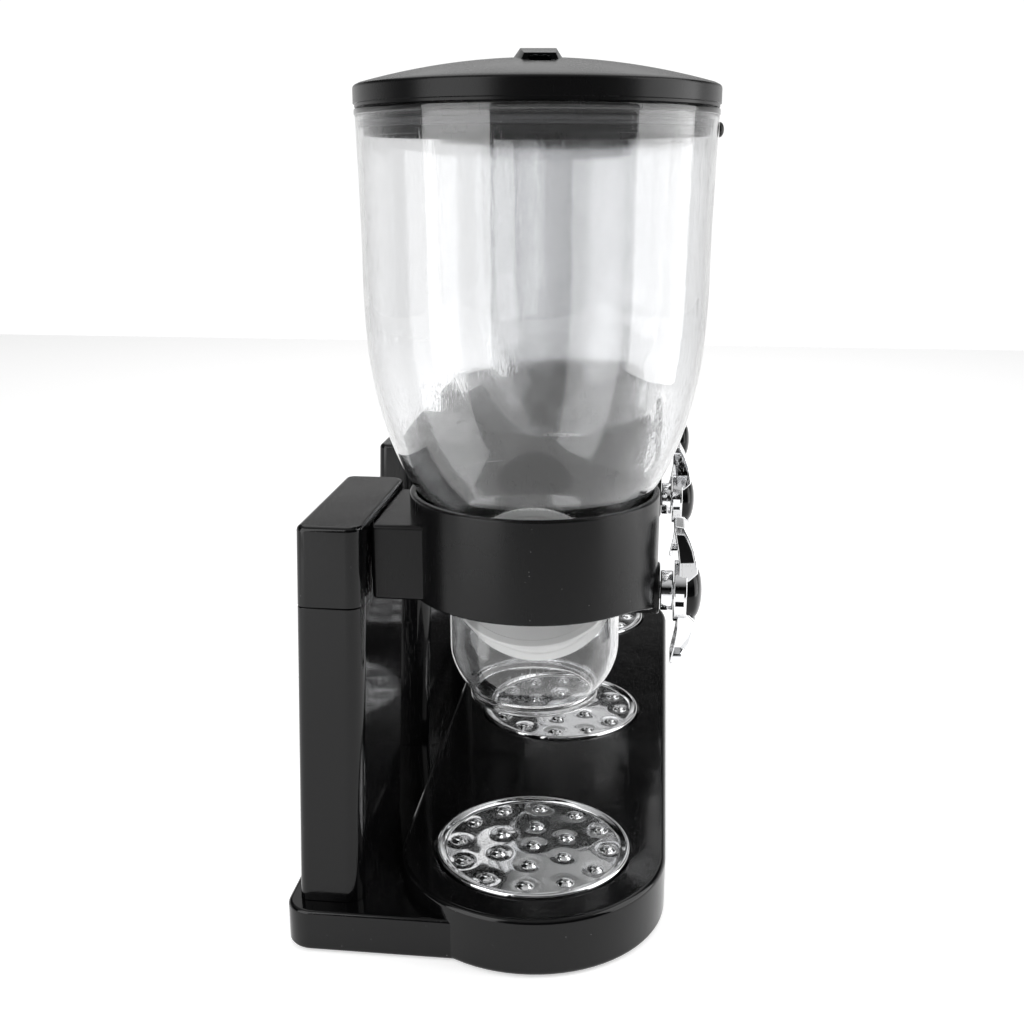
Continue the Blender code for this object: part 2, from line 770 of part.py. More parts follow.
def build_base(finish):
    offset = (0.0, AXIS_Y, 0.0)
    place("base_shell", base_shell(), finish["black_plastic"], offset)
    place("base_cover", base_cover(), finish["black_satin"], offset)
    foot_mesh = foot()
    half_row = STATION_PITCH * (STATION_COUNT - 1) / 2
    number = 1
    for x in (-half_row, 0.0, half_row):
        for y in (-PLATFORM_RADIUS + 0.018, BACK_REACH - 0.018):
            place(f"foot_{number}", foot_mesh, finish["rubber"], (x, AXIS_Y + y, 0.0))
            number += 1


def build_stations(finish):
    fixed = {
        "column_post": (column_post(), "black_plastic"),
        "column_cap": (column_cap(), "black_plastic"),
        "ring_bracket": (ring_bracket(), "black_satin"),
        "chute": (chute(), "clear_plastic"),
    }
    bushes = {
        "front_bush": (front_bush(), "white_plastic"),
        "rear_bush": (rear_bush(), "white_plastic"),
    }
    lifted = {
        "hopper": (hopper(), "clear_plastic"),
        "front_stud": (front_stud(), "black_satin"),
        "lid": (lid(), "black_satin"),
        "lid_seal": (lid_seal(), "seal_silicone"),
        "drip_plate": (drip_plate(), "chrome"),
    }
    turning = {
        "rotor": (rotor(), "white_silicone"),
        "rotor_shaft": (rotor_shaft(), "steel"),
        "knob_collar": (knob_collar(), "chrome"),
        "knob": (knob(), "chrome"),
        "knob_cap": (knob_cap(), "black_plastic"),
    }
    screw_mesh = column_screw()
    for index in range(STATION_COUNT):
        number = index + 1
        x = station_x(index)
        for name, (mesh, slot) in {**fixed, **lifted}.items():
            place(f"{name}_{number}", mesh, finish[slot], (x, AXIS_Y, 0.0))
        for name, (mesh, slot) in bushes.items():
            place(f"{name}_{number}", mesh, finish[slot], (x, AXIS_Y, SHAFT_Z))
        screw_y = AXIS_Y + column_middle(STRIP_TOP)
        place(f"column_screw_{number}", screw_mesh, finish["steel"], (x, screw_y, 0.0))
        axis = joint_empty(f"knob_axis_{number}", (x, AXIS_Y, SHAFT_Z))
        for name, (mesh, slot) in turning.items():
            place(f"{name}_{number}", mesh, finish[slot], parent=axis)


def main():
    clear_scene()
    collection(MODEL)
    finish = make_materials()
    build_base(finish)
    build_stations(finish)


main()
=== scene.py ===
"""Looks of a countertop cereal dispenser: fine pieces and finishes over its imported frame."""

import enum
import json
import logging
import math
from collections.abc import Callable, Sequence
from dataclasses import dataclass, field

import bmesh
import bpy
from mathutils import Matrix, Vector


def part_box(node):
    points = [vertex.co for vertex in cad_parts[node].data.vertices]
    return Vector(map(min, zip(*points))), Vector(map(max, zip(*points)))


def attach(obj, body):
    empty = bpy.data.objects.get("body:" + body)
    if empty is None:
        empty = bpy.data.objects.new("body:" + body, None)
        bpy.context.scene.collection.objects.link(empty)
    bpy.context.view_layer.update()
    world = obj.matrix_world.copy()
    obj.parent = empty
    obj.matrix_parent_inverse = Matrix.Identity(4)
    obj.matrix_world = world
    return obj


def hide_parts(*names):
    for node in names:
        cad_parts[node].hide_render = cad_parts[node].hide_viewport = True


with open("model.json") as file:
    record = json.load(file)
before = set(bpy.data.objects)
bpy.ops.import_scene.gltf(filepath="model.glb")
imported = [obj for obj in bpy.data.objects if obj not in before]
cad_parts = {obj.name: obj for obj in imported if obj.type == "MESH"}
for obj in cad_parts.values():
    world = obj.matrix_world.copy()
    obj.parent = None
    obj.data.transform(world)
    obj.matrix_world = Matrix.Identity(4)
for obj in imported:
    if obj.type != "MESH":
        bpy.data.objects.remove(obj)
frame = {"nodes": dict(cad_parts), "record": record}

LOG = logging.getLogger("cereal_dispenser")
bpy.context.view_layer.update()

GAP = 0.0003
TOUCH = 1e-5
LEVEL = 0.9
STATIONS = (1, 2, 3)
MODEL_STATION = 2

Pair = tuple[float, float]
Triple = tuple[float, float, float]
Piece = bpy.types.Object
Sockets = bpy.types.bpy_prop_collection


# ---------------------------------------------------------------- shaping with edit operators

class Axis(enum.Enum):
    """The line that a turned piece is spun about."""

    UP = (0.0, 0.0, 1.0)
    FRONT = (0.0, -1.0, 0.0)


class Cut(enum.Enum):
    """What a tool does to a piece."""

    JOIN = "UNION"
    REMOVE = "DIFFERENCE"
    KEEP_SHARED = "INTERSECT"


def rest() -> None:
    """Leaves edit mode and deselects every object."""
    if bpy.context.object is not None and bpy.context.object.mode != "OBJECT":
        bpy.ops.object.mode_set(mode="OBJECT")
    bpy.ops.object.select_all(action="DESELECT")


def hold(piece: Piece) -> None:
    """Makes a piece the only selected object.

    Args:
        piece: The object to work on.
    """
    rest()
    piece.select_set(True)
    bpy.context.view_layer.objects.active = piece


def edit(piece: Piece, selected: bool = False) -> None:
    """Opens a piece in edit mode.

    Args:
        piece: The object to open.
        selected: Whether the whole mesh starts selected.
    """
    hold(piece)
    bpy.ops.object.mode_set(mode="EDIT")
    bpy.ops.mesh.select_mode(type="VERT")
    bpy.ops.mesh.select_all(action="SELECT" if selected else "DESELECT")


def close_edit() -> None:
    """Goes back to object mode."""
    bpy.ops.object.mode_set(mode="OBJECT")


def pick_faces(piece: Piece, test: Callable[[Vector, Vector], bool]) -> int:
    """Selects the faces of a piece in edit mode that pass a test.

    Args:
        piece: The object in edit mode.
        test: Told a face's middle and its normal, says whether to select it.

    Returns:
        How many faces were selected.
    """
    bpy.ops.mesh.select_mode(type="FACE")
    bpy.ops.mesh.select_all(action="DESELECT")
    shape = bmesh.from_edit_mesh(piece.data)
    count = 0
    for face in shape.faces:
        face.select_set(test(face.calc_center_median(), face.normal))
        count += int(face.select)
    bmesh.update_edit_mesh(piece.data)
    return count


def level_at(height: float) -> Callable[[Vector, Vector], bool]:
    """A test that picks the level faces at a height, for pick_faces.

    Args:
        height: The height of the faces.

    Returns:
        The test.
    """
    return lambda middle, normal: abs(middle.z - height) < TOUCH and abs(normal.z) > LEVEL


def reshape(piece: Piece, rule: Callable[[Vector], Vector]) -> None:
    """Moves every point of a piece by a rule.

    Args:
        piece: The object to change.
        rule: Told a point's place, gives its new place.
    """
    edit(piece)
    shape = bmesh.from_edit_mesh(piece.data)
    for point in shape.verts:
        point.co = rule(point.co)
    bmesh.update_edit_mesh(piece.data)
    close_edit()


def chain(name: str, points: Sequence[Triple]) -> Piece:
    """Draws a line of joined points, each extruded from the last, and stays in edit mode.

    Args:
        name: The new object's name.
        points: The places that the line passes through.

    Returns:
        The object, open in edit mode.
    """
    rest()
    bpy.ops.mesh.primitive_plane_add(size=0.001, location=points[0])
    piece = bpy.context.object
    piece.name = name
    bpy.ops.object.transform_apply(location=True, rotation=False, scale=False)
    edit(piece, selected=True)
    bpy.ops.mesh.merge(type="CENTER")
    for last, here in zip(points, points[1:]):
        step = Vector(here) - Vector(last)
        bpy.ops.mesh.extrude_vertices_move(TRANSFORM_OT_translate={"value": step})
    return piece


def outward(piece: Piece) -> None:
    """Welds a piece's doubled points and turns its faces outwards.

    Args:
        piece: The object to tidy.
    """
    edit(piece, selected=True)
    bpy.ops.mesh.remove_doubles(threshold=1e-6)
    bpy.ops.mesh.normals_make_consistent(inside=False)
    close_edit()


def turned(name: str, profile: Sequence[Pair], steps: int, axis: Axis = Axis.UP) -> Piece:
    """Spins a profile once round an axis.

    Args:
        name: The new object's name.
        profile: Radius and height points. It closes on itself, or starts and ends on the axis.
        steps: How many steps make the full turn.
        axis: The axis; heights run along it.

    Returns:
        The closed, turned object.
    """
    closed = profile[0][0] > 0.0 or profile[-1][0] > 0.0
    line = list(profile) + ([profile[0]] if closed else [])
    along = Vector(axis.value)
    piece = chain(name, [tuple(Vector((radius, 0.0, 0.0)) + along * height) for radius, height in line])
    bpy.ops.mesh.select_all(action="SELECT")
    bpy.ops.mesh.spin(steps=steps, angle=math.tau, center=(0.0, 0.0, 0.0), axis=axis.value)
    close_edit()
    outward(piece)
    return piece


def slab(name: str, outline: Sequence[Pair], low: float, high: float, drift: Pair = (0.0, 0.0)) -> Piece:
    """Fills an outline in XY and extrudes it upwards.

    Args:
        name: The new object's name.
        outline: The outline's points, in order.
        low: The height of the bottom face.
        high: The height of the top face.
        drift: How far the top face has moved in X and Y.

    Returns:
        The closed object.
    """
    piece = chain(name, [(x, y, low) for x, y in outline])
    bpy.ops.mesh.select_all(action="SELECT")
    bpy.ops.mesh.edge_face_add()
    rise = (drift[0], drift[1], high - low)
    bpy.ops.mesh.extrude_region_move(TRANSFORM_OT_translate={"value": rise})
    close_edit()
    outward(piece)
    return piece


def brick(name: str, low: Triple, high: Triple) -> Piece:
    """Adds a box between two corners, as a start or a tool.

    Args:
        name: The new object's name.
        low: The lowest corner.
        high: The highest corner.

    Returns:
        The box.
    """
    rest()
    middle = (Vector(low) + Vector(high)) / 2
    bpy.ops.mesh.primitive_cube_add(size=1.0, location=middle, scale=Vector(high) - Vector(low))
    piece = bpy.context.object
    piece.name = name
    bpy.ops.object.transform_apply(location=True, rotation=True, scale=True)
    return piece


def rod(name: str, radius: float, low: float, high: float, steps: int, axis: Axis = Axis.UP) -> Piece:
    """Adds a cylinder about an axis, as a start or a tool.

    Args:
        name: The new object's name.
        radius: Its radius.
        low: Where it starts along the axis.
        high: Where it ends along the axis.
        steps: How many sides it has.
        axis: The axis it lies on.

    Returns:
        The cylinder.
    """
    rest()
    tilt = (math.radians(90), 0.0, 0.0) if axis is Axis.FRONT else (0.0, 0.0, 0.0)
    middle = Vector(axis.value) * (low + high) / 2
    bpy.ops.mesh.primitive_cylinder_add(
        vertices=steps, radius=radius, depth=high - low, location=middle, rotation=tilt
    )
    piece = bpy.context.object
    piece.name = name
    bpy.ops.object.transform_apply(location=True, rotation=True, scale=True)
    return piece


def shift(piece: Piece, offset: Triple) -> Piece:
    """Moves a piece and puts the move into its mesh.

    Args:
        piece: The object to move.
        offset: How far to move it.

    Returns:
        The same object.
    """
    hold(piece)
    bpy.ops.transform.translate(value=offset)
    bpy.ops.object.transform_apply(location=True, rotation=False, scale=False)
    return piece


def turn(piece: Piece, degrees: float, axis: str, centre: Triple = (0.0, 0.0, 0.0)) -> Piece:
    """Turns a piece's mesh about a line through a point.

    Args:
        piece: The object to turn.
        degrees: The right-handed angle.
        axis: "X", "Y" or "Z".
        centre: A point on the line.

    Returns:
        The same object.
    """
    about = Matrix.Translation(centre) @ Matrix.Rotation(math.radians(degrees), 4, axis)
    piece.data.transform(about @ Matrix.Translation(Vector(centre) * -1.0))
    piece.data.update()
    return piece


def with_tool(piece: Piece, tool: Piece, cut: Cut) -> Piece:
    """Joins, cuts or trims a piece with a tool, which is then gone.

    Args:
        piece: The object to change.
        tool: The other closed object.
        cut: What the tool does.

    Returns:
        The same object.
    """
    hold(piece)
    step = piece.modifiers.new("tool", "BOOLEAN")
    step.operation = cut.value
    step.solver = "EXACT"
    step.object = tool
    bpy.ops.object.modifier_apply(modifier=step.name)
    bpy.data.objects.remove(tool)
    weld(piece)
    return piece


def weld(piece: Piece) -> None:
    """Welds the slivers that a tool leaves, without turning any face.

    Args:
        piece: The object to tidy.
    """
    edit(piece, selected=True)
    bpy.ops.mesh.remove_doubles(threshold=2e-6)
    bpy.ops.mesh.dissolve_degenerate(threshold=2e-6)
    close_edit()


def rounded(piece: Piece, width: float, segments: int, angle: float = 35.0) -> Piece:
    """Rounds the edges sharper than an angle.

    Args:
        piece: The object to change.
        width: The width of the rounding.
        segments: How many strips it has.
        angle: The least angle, in degrees, of an edge that is rounded.

    Returns:
        The same object.
    """
    hold(piece)
    bevel = piece.modifiers.new("round", "BEVEL")
    bevel.width = width
    bevel.segments = segments
    bevel.limit_method = "ANGLE"
    bevel.angle_limit = math.radians(angle)
    bevel.use_clamp_overlap = True
    bpy.ops.object.modifier_apply(modifier=bevel.name)
    return piece


def smooth(piece: Piece, angle: float = 32.0, weighted: bool = True) -> Piece:
    """Shades a piece smooth, with its sharp edges kept.

    Args:
        piece: The object to shade.
        angle: Edges sharper than this, in degrees, stay sharp.
        weighted: Whether broad faces decide the shading of the roundings beside them.

    Returns:
        The same object.
    """
    hold(piece)
    bpy.ops.object.shade_smooth_by_angle(angle=math.radians(angle), keep_sharp_edges=False)
    if weighted:
        normals = piece.modifiers.new("normals", "WEIGHTED_NORMAL")
        normals.keep_sharp = True
        normals.weight = 100
        bpy.ops.object.modifier_apply(modifier=normals.name)
    return piece


def twin(piece: Piece, name: str, offset: Triple) -> Piece:
    """Copies a piece with a mesh of its own and moves the copy.

    Args:
        piece: The object to copy.
        name: The copy's name.
        offset: How far the copy is moved.

    Returns:
        The copy.
    """
    hold(piece)
    bpy.ops.object.duplicate(linked=False)
    copy = bpy.context.object
    copy.name = name
    copy.data.name = name
    return shift(copy, offset)


# ---------------------------------------------------------------- outlines

def arc(centre: Pair, radius: float, start: float, end: float, steps: int) -> list[Pair]:
    """Points along an arc.

    Args:
        centre: The arc's centre.
        radius: Its radius.
        start: The first angle, in degrees.
        end: The last angle, in degrees.
        steps: How many steps it has.

    Returns:
        The points, both ends included.
    """
    angles = [math.radians(start + (end - start) * i / steps) for i in range(steps + 1)]
    return [(centre[0] + radius * math.cos(a), centre[1] + radius * math.sin(a)) for a in angles]


def stadium(half_length: float, radius: float, steps: int) -> list[Pair]:
    """A straight-sided outline with round ends along its first axis.

    Args:
        half_length: The distance from the middle to an end's centre.
        radius: The ends' radius.
        steps: The steps in each end.

    Returns:
        The outline's points.
    """
    right = arc((half_length, 0.0), radius, -90, 90, steps)
    return right + arc((-half_length, 0.0), radius, 90, 270, steps)


def rounded_rectangle(low: Pair, high: Pair, front: float, back: float, steps: int = 8) -> list[Pair]:
    """A rectangle whose front (low Y) and back corners have their own radii.

    Args:
        low: The lowest corner.
        high: The highest corner.
        front: The front corners' radius.
        back: The back corners' radius.
        steps: The steps in each corner.

    Returns:
        The outline's points.
    """
    points = arc((high[0] - front, low[1] + front), front, -90, 0, steps)
    points += arc((high[0] - back, high[1] - back), back, 0, 90, steps)
    points += arc((low[0] + back, high[1] - back), back, 90, 180, steps)
    points += arc((low[0] + front, low[1] + front), front, 180, 270, steps)
    return points


def eased(share: float) -> float:
    """A smooth step from 0 to 1."""
    held = min(1.0, max(0.0, share))
    return held * held * (3.0 - 2.0 * held)


# ---------------------------------------------------------------- finishes

@dataclass(frozen=True)
class Nodes:
    """A node tree with short calls to add and join its nodes."""

    tree: bpy.types.NodeTree

    def add(self, kind: str, **values: object) -> bpy.types.Node:
        """Adds a node.

        Args:
            kind: The node's type name.
            **values: Its own settings.

        Returns:
            The node.
        """
        node = self.tree.nodes.new(kind)
        for key, value in values.items():
            setattr(node, key, value)
        return node

    def join(self, source: bpy.types.NodeSocket, target: bpy.types.NodeSocket) -> None:
        """Links an output to an input."""
        self.tree.links.new(source, target)

    def maths(self, operation: str, first: object, second: object = 0.0) -> bpy.types.NodeSocket:
        """Adds one sum.

        Args:
            operation: The Math node's operation.
            first: A number or an output.
            second: A number or an output.

        Returns:
            The result's output.
        """
        node = self.add("ShaderNodeMath", operation=operation)
        for socket, value in zip(node.inputs, (first, second)):
            if isinstance(value, bpy.types.NodeSocket):
                self.join(value, socket)
            else:
                socket.default_value = value
        return node.outputs[0]

    def noise(self, place: bpy.types.NodeSocket, scale: float, detail: float) -> bpy.types.NodeSocket:
        """Adds soft noise.

        Args:
            place: The coordinates it is read at.
            scale: How fine it is.
            detail: How many finer layers it has.

        Returns:
            Its value's output.
        """
        node = self.add("ShaderNodeTexNoise")
        node.inputs["Scale"].default_value = scale
        node.inputs["Detail"].default_value = detail
        self.join(place, node.inputs["Vector"])
        return node.outputs["Fac"]

    def span(self, value: bpy.types.NodeSocket, source: Pair, target: Pair) -> bpy.types.NodeSocket:
        """Stretches a value from one range to another, and holds it there.

        Args:
            value: The output to stretch.
            source: The range it is read from.
            target: The range it is given.

        Returns:
            The result's output.
        """
        node = self.add("ShaderNodeMapRange")
        for name, number in zip(("From Min", "From Max", "To Min", "To Max"), (*source, *target)):
            node.inputs[name].default_value = number
        self.join(value, node.inputs["Value"])
        return node.outputs["Result"]


def new_group(name: str, inputs: Sequence[tuple[str, float]], outputs: Sequence[str]) -> tuple[
        bpy.types.NodeTree, Nodes, Sockets, Sockets]:
    """Starts a shader node group that reads Object coordinates.

    Args:
        name: The group's name.
        inputs: Each input's name and its usual value.
        outputs: The outputs' names.

    Returns:
        The group, its nodes, its inputs inside and its outputs inside.
    """
    tree = bpy.data.node_groups.new(name, "ShaderNodeTree")
    for label, value in inputs:
        socket = tree.interface.new_socket(label, in_out="INPUT", socket_type="NodeSocketFloat")
        socket.default_value = value
    for label in outputs:
        tree.interface.new_socket(label, in_out="OUTPUT", socket_type="NodeSocketFloat")
    nodes = Nodes(tree)
    entry = nodes.add("NodeGroupInput")
    leave = nodes.add("NodeGroupOutput")
    return tree, nodes, entry.outputs, leave.inputs


def handling_group() -> bpy.types.NodeTree:
    """Fine rubbing marks and finger smears, as a roughness mask and a height.

    Returns:
        The node group, with inputs Fineness and Smear and outputs Rub and Height.
    """
    inputs = [("Fineness", 1.0), ("Smear", 0.5)]
    tree, nodes, given, wanted = new_group("handling_marks", inputs, ["Rub", "Height"])
    place = nodes.add("ShaderNodeTexCoord").outputs["Object"]
    scaled = nodes.add("ShaderNodeVectorMath", operation="SCALE")
    nodes.join(place, scaled.inputs[0])
    nodes.join(given["Fineness"], scaled.inputs["Scale"])
    smear = nodes.span(nodes.noise(scaled.outputs[0], 34.0, 4.0), (0.42, 0.72), (0.0, 1.0))
    stretch = nodes.add("ShaderNodeMapping")
    stretch.inputs["Scale"].default_value = (1.0, 1.0, 0.06)
    nodes.join(scaled.outputs[0], stretch.inputs["Vector"])
    lines = nodes.span(nodes.noise(stretch.outputs[0], 1900.0, 2.0), (0.60, 0.74), (0.0, 1.0))
    weighed = nodes.maths("MULTIPLY", smear, given["Smear"])
    nodes.join(nodes.maths("ADD", weighed, nodes.maths("MULTIPLY", lines, 0.25)), wanted["Rub"])
    nodes.join(nodes.maths("MULTIPLY", lines, -1.0), wanted["Height"])
    return tree


def dust_group() -> bpy.types.NodeTree:
    """Sparse pale specks of dust, as a mask.

    Returns:
        The node group, with inputs Grain and Amount and output Dust.
    """
    tree, nodes, given, wanted = new_group("dust_specks", [("Grain", 420.0), ("Amount", 0.5)], ["Dust"])
    place = nodes.add("ShaderNodeTexCoord").outputs["Object"]
    cells = nodes.add("ShaderNodeTexVoronoi", feature="F1")
    nodes.join(place, cells.inputs["Vector"])
    nodes.join(given["Grain"], cells.inputs["Scale"])
    dot = nodes.span(cells.outputs["Distance"], (0.05, 0.11), (1.0, 0.0))
    chosen = nodes.add("ShaderNodeSeparateColor")
    nodes.join(cells.outputs["Color"], chosen.inputs["Color"])
    few = nodes.span(chosen.outputs[0], (0.93, 0.95), (0.0, 1.0))
    patches = nodes.span(nodes.noise(place, 22.0, 2.0), (0.45, 0.60), (0.0, 1.0))
    mask = nodes.maths("MULTIPLY", nodes.maths("MULTIPLY", dot, few), patches)
    nodes.join(nodes.maths("MULTIPLY", mask, given["Amount"]), wanted["Dust"])
    return tree


def moulding_group() -> bpy.types.NodeTree:
    """The slight waviness and fine skin of a moulded surface, as a height.

    Returns:
        The node group, with inputs Skin and Wave and output Height.
    """
    tree, nodes, given, wanted = new_group("moulded_skin", [("Skin", 1.0), ("Wave", 1.0)], ["Height"])
    place = nodes.add("ShaderNodeTexCoord").outputs["Object"]
    skin = nodes.maths("MULTIPLY", nodes.noise(place, 2600.0, 1.0), given["Skin"])
    wave = nodes.maths("MULTIPLY", nodes.noise(place, 38.0, 1.0), given["Wave"])
    nodes.join(nodes.maths("ADD", skin, wave), wanted["Height"])
    return tree


@dataclass(frozen=True)
class SurfaceEffects:
    """The node groups that the finishes share."""

    handling: bpy.types.NodeTree
    dust: bpy.types.NodeTree
    moulding: bpy.types.NodeTree

    @classmethod
    def build(cls) -> "SurfaceEffects":
        """Builds each group once."""
        return cls(handling_group(), dust_group(), moulding_group())


@dataclass(frozen=True)
class Finish:
    """One material of the dispenser, with the wear that it shows.

    Fields are the constants of its shader and the amounts of the shared effects.
    """

    slot: str
    colour: Triple
    roughness: float
    rub: float = 0.05
    smear: float = 0.5
    dust: float = 0.0
    dust_colour: Triple = (0.30, 0.30, 0.30)
    skin: float = 0.0
    wave: float = 0.0
    bump: float = 0.00002
    metallic: float = 0.0
    transmission: float = 0.0
    ior: float = 1.5
    specular: float = 0.5
    mottle: float = 0.0
    fineness: float = 1.0

    def material(self, effects: SurfaceEffects) -> bpy.types.Material:
        """Builds the material.

        Args:
            effects: The shared node groups.

        Returns:
            The finished material.
        """
        made = bpy.data.materials.new(f"{self.slot}_finish")
        made.use_nodes = True
        nodes = Nodes(made.node_tree)
        shader = made.node_tree.nodes["Principled BSDF"]
        shader.inputs["IOR"].default_value = self.ior
        shader.inputs["Metallic"].default_value = self.metallic
        shader.inputs["Transmission Weight"].default_value = self.transmission
        shader.inputs["Specular IOR Level"].default_value = self.specular
        shader.inputs["Base Color"].default_value = (*self.colour, 1.0)
        handling = nodes.add("ShaderNodeGroup", node_tree=effects.handling)
        handling.inputs["Fineness"].default_value = self.fineness
        handling.inputs["Smear"].default_value = self.smear
        rubbed = nodes.maths("MULTIPLY", handling.outputs["Rub"], self.rub)
        roughness = nodes.maths("ADD", rubbed, self.roughness)
        self.colour_nodes(nodes, shader, effects, roughness)
        self.relief(nodes, shader, effects, handling.outputs["Height"])
        return made

    def colour_nodes(self, nodes: Nodes, shader: bpy.types.Node, effects: SurfaceEffects,
                     roughness: bpy.types.NodeSocket) -> None:
        """Joins the colour and roughness, with dust over both where the finish has it.

        Args:
            nodes: The material's nodes.
            shader: Its shader.
            effects: The shared node groups.
            roughness: The roughness so far.
        """
        if self.dust == 0.0:
            nodes.join(roughness, shader.inputs["Roughness"])
            if self.mottle > 0.0:
                nodes.join(self.mottled(nodes), shader.inputs["Base Color"])
            return
        specks = nodes.add("ShaderNodeGroup", node_tree=effects.dust)
        specks.inputs["Amount"].default_value = self.dust
        mask = specks.outputs["Dust"]
        mix = nodes.add("ShaderNodeMix", data_type="RGBA")
        nodes.join(mask, mix.inputs["Factor"])
        nodes.join(self.mottled(nodes), mix.inputs["A"])
        mix.inputs["B"].default_value = (*self.dust_colour, 1.0)
        nodes.join(mix.outputs["Result"], shader.inputs["Base Color"])
        dull = nodes.maths("ADD", roughness, nodes.maths("MULTIPLY", mask, 0.5))
        nodes.join(dull, shader.inputs["Roughness"])

    def mottled(self, nodes: Nodes) -> bpy.types.NodeSocket:
        """The base colour, a little lighter and darker in soft patches.

        Args:
            nodes: The material's nodes.

        Returns:
            The colour's output.
        """
        place = nodes.add("ShaderNodeTexCoord").outputs["Object"]
        mix = nodes.add("ShaderNodeMix", data_type="RGBA")
        nodes.join(nodes.noise(place, 26.0, 3.0), mix.inputs["Factor"])
        for name, strength in (("A", 1.0 - self.mottle), ("B", 1.0 + self.mottle)):
            shade = (min(1.0, part * strength) for part in self.colour)
            mix.inputs[name].default_value = (*shade, 1.0)
        return mix.outputs["Result"]

    def relief(self, nodes: Nodes, shader: bpy.types.Node, effects: SurfaceEffects,
               scratches: bpy.types.NodeSocket) -> None:
        """Joins the fine relief of the surface to the shader's normal.

        Args:
            nodes: The material's nodes.
            shader: Its shader.
            effects: The shared node groups.
            scratches: The height of the rubbing marks.
        """
        height = nodes.maths("MULTIPLY", scratches, 0.15)
        if self.skin > 0.0 or self.wave > 0.0:
            skin = nodes.add("ShaderNodeGroup", node_tree=effects.moulding)
            skin.inputs["Skin"].default_value = self.skin
            skin.inputs["Wave"].default_value = self.wave
            height = nodes.maths("ADD", height, skin.outputs["Height"])
        bump = nodes.add("ShaderNodeBump")
        bump.inputs["Distance"].default_value = self.bump
        nodes.join(height, bump.inputs["Height"])
        nodes.join(bump.outputs["Normal"], shader.inputs["Normal"])


FINISHES = (
    Finish("black_plastic", (0.0022, 0.0022, 0.0024), 0.075, rub=0.10, dust=0.55, wave=1.2, skin=0.02,
           bump=0.00010, mottle=0.2, specular=0.28),
    Finish("black_satin", (0.0030, 0.0030, 0.0032), 0.25, rub=0.08, dust=0.35, skin=0.5, wave=0.6,
           bump=0.00003, mottle=0.2, specular=0.20),
    Finish("clear_plastic", (0.895, 0.898, 0.903), 0.010, rub=0.04, wave=1.0, bump=0.00006,
           transmission=1.0, ior=1.49),
    Finish("white_silicone", (0.80, 0.80, 0.79), 0.42, rub=0.12, skin=0.3, wave=0.5, mottle=0.03,
           dust=0.2, dust_colour=(0.55, 0.54, 0.52)),
    Finish("chrome", (0.80, 0.805, 0.815), 0.035, rub=0.06, wave=0.8, bump=0.00010, metallic=1.0,
           mottle=0.02),
    Finish("steel", (0.48, 0.48, 0.49), 0.26, rub=0.15, skin=0.3, bump=0.00003, metallic=1.0, mottle=0.08),
    Finish("rubber", (0.020, 0.020, 0.020), 0.72, rub=0.10, skin=0.8, bump=0.00006, dust=0.3, mottle=0.2),
    Finish("seal_silicone", (0.030, 0.030, 0.032), 0.45, rub=0.10, skin=0.4, mottle=0.06),
    Finish("white_plastic", (0.74, 0.74, 0.72), 0.36, rub=0.10, skin=0.3, mottle=0.04),
)


@dataclass
class Wardrobe:
    """Every finish by its slot, and the dressing of pieces and carried nodes."""

    materials: dict[str, bpy.types.Material]

    @classmethod
    def build(cls) -> "Wardrobe":
        """Builds every finish."""
        effects = SurfaceEffects.build()
        return cls({finish.slot: finish.material(effects) for finish in FINISHES})

    def dress(self, piece: Piece, slot: str, body: str, *nodes: str) -> Piece:
        """Gives a piece its finish and its body, and hides the nodes it stands for.

        Args:
            piece: The finished piece.
            slot: The record's material slot.
            body: The body that it rides on.
            *nodes: The CAD nodes that it replaces.

        Returns:
            The same object.
        """
        rest()
        piece.data.materials.clear()
        piece.data.materials.append(self.materials[slot])
        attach(piece, body)
        if nodes:
            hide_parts(*nodes)
        return piece

    def carry(self) -> int:
        """Gives every carried CAD node the finish of its slot.

        Returns:
            How many nodes still show.
        """
        shown = 0
        for part in frame["record"]["subparts"]:
            node = frame["nodes"][part["node"]]
            if node.hide_render:
                continue
            node.data.materials.clear()
            node.data.materials.append(self.materials[part["material_slot"]])
            shown += 1
        return shown


# ---------------------------------------------------------------- where things are

@dataclass
class Layout:
    """Places that every class shares, read from the frame."""

    axis_y: float = 0.0
    pitch: float = 0.0
    strip_top: float = 0.0
    shaft_height: float = 0.0

    def __post_init__(self) -> None:
        """Reads the frame's boxes."""
        low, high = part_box(f"hopper_{MODEL_STATION}")
        self.axis_y = (low.y + high.y) / 2
        self.pitch = station_middle(MODEL_STATION + 1) - station_middle(MODEL_STATION)
        self.strip_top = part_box(f"column_post_{MODEL_STATION}")[0].z - GAP
        bush_low, bush_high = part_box(f"front_bush_{MODEL_STATION}")
        self.shaft_height = (bush_low.z + bush_high.z) / 2

    def offset(self, station: int, height: float = 0.0) -> Triple:
        """How far a piece made at the world's middle is moved to its station."""
        return ((station - MODEL_STATION) * self.pitch, self.axis_y, height)


def station_middle(station: int) -> float:
    """The X of a station's canister axis."""
    low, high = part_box(f"hopper_{station}")
    return (low.x + high.x) / 2


@dataclass
class SubAssembly:
    """A group of pieces that is modelled once and set at each station."""

    layout: Layout
    wardrobe: Wardrobe

    def spread(self, model: Piece, name: str, slot: str, body: str, node: str, height: float = 0.0) -> None:
        """Sets a finished model at every station, then removes it.

        Args:
            model: The piece, made at the middle of the world.
            name: The pieces' name, before their number.
            slot: Their material slot.
            body: Their body, with {} for the number.
            node: The node that each replaces, before its number.
            height: How far they are raised.
        """
        for station in STATIONS:
            piece = twin(model, f"{name}_{station}", self.layout.offset(station, height))
            self.wardrobe.dress(piece, slot, body.format(station), f"{node}_{station}")
        bpy.data.objects.remove(model)
        LOG.info("%s: %d pieces", name, len(STATIONS))


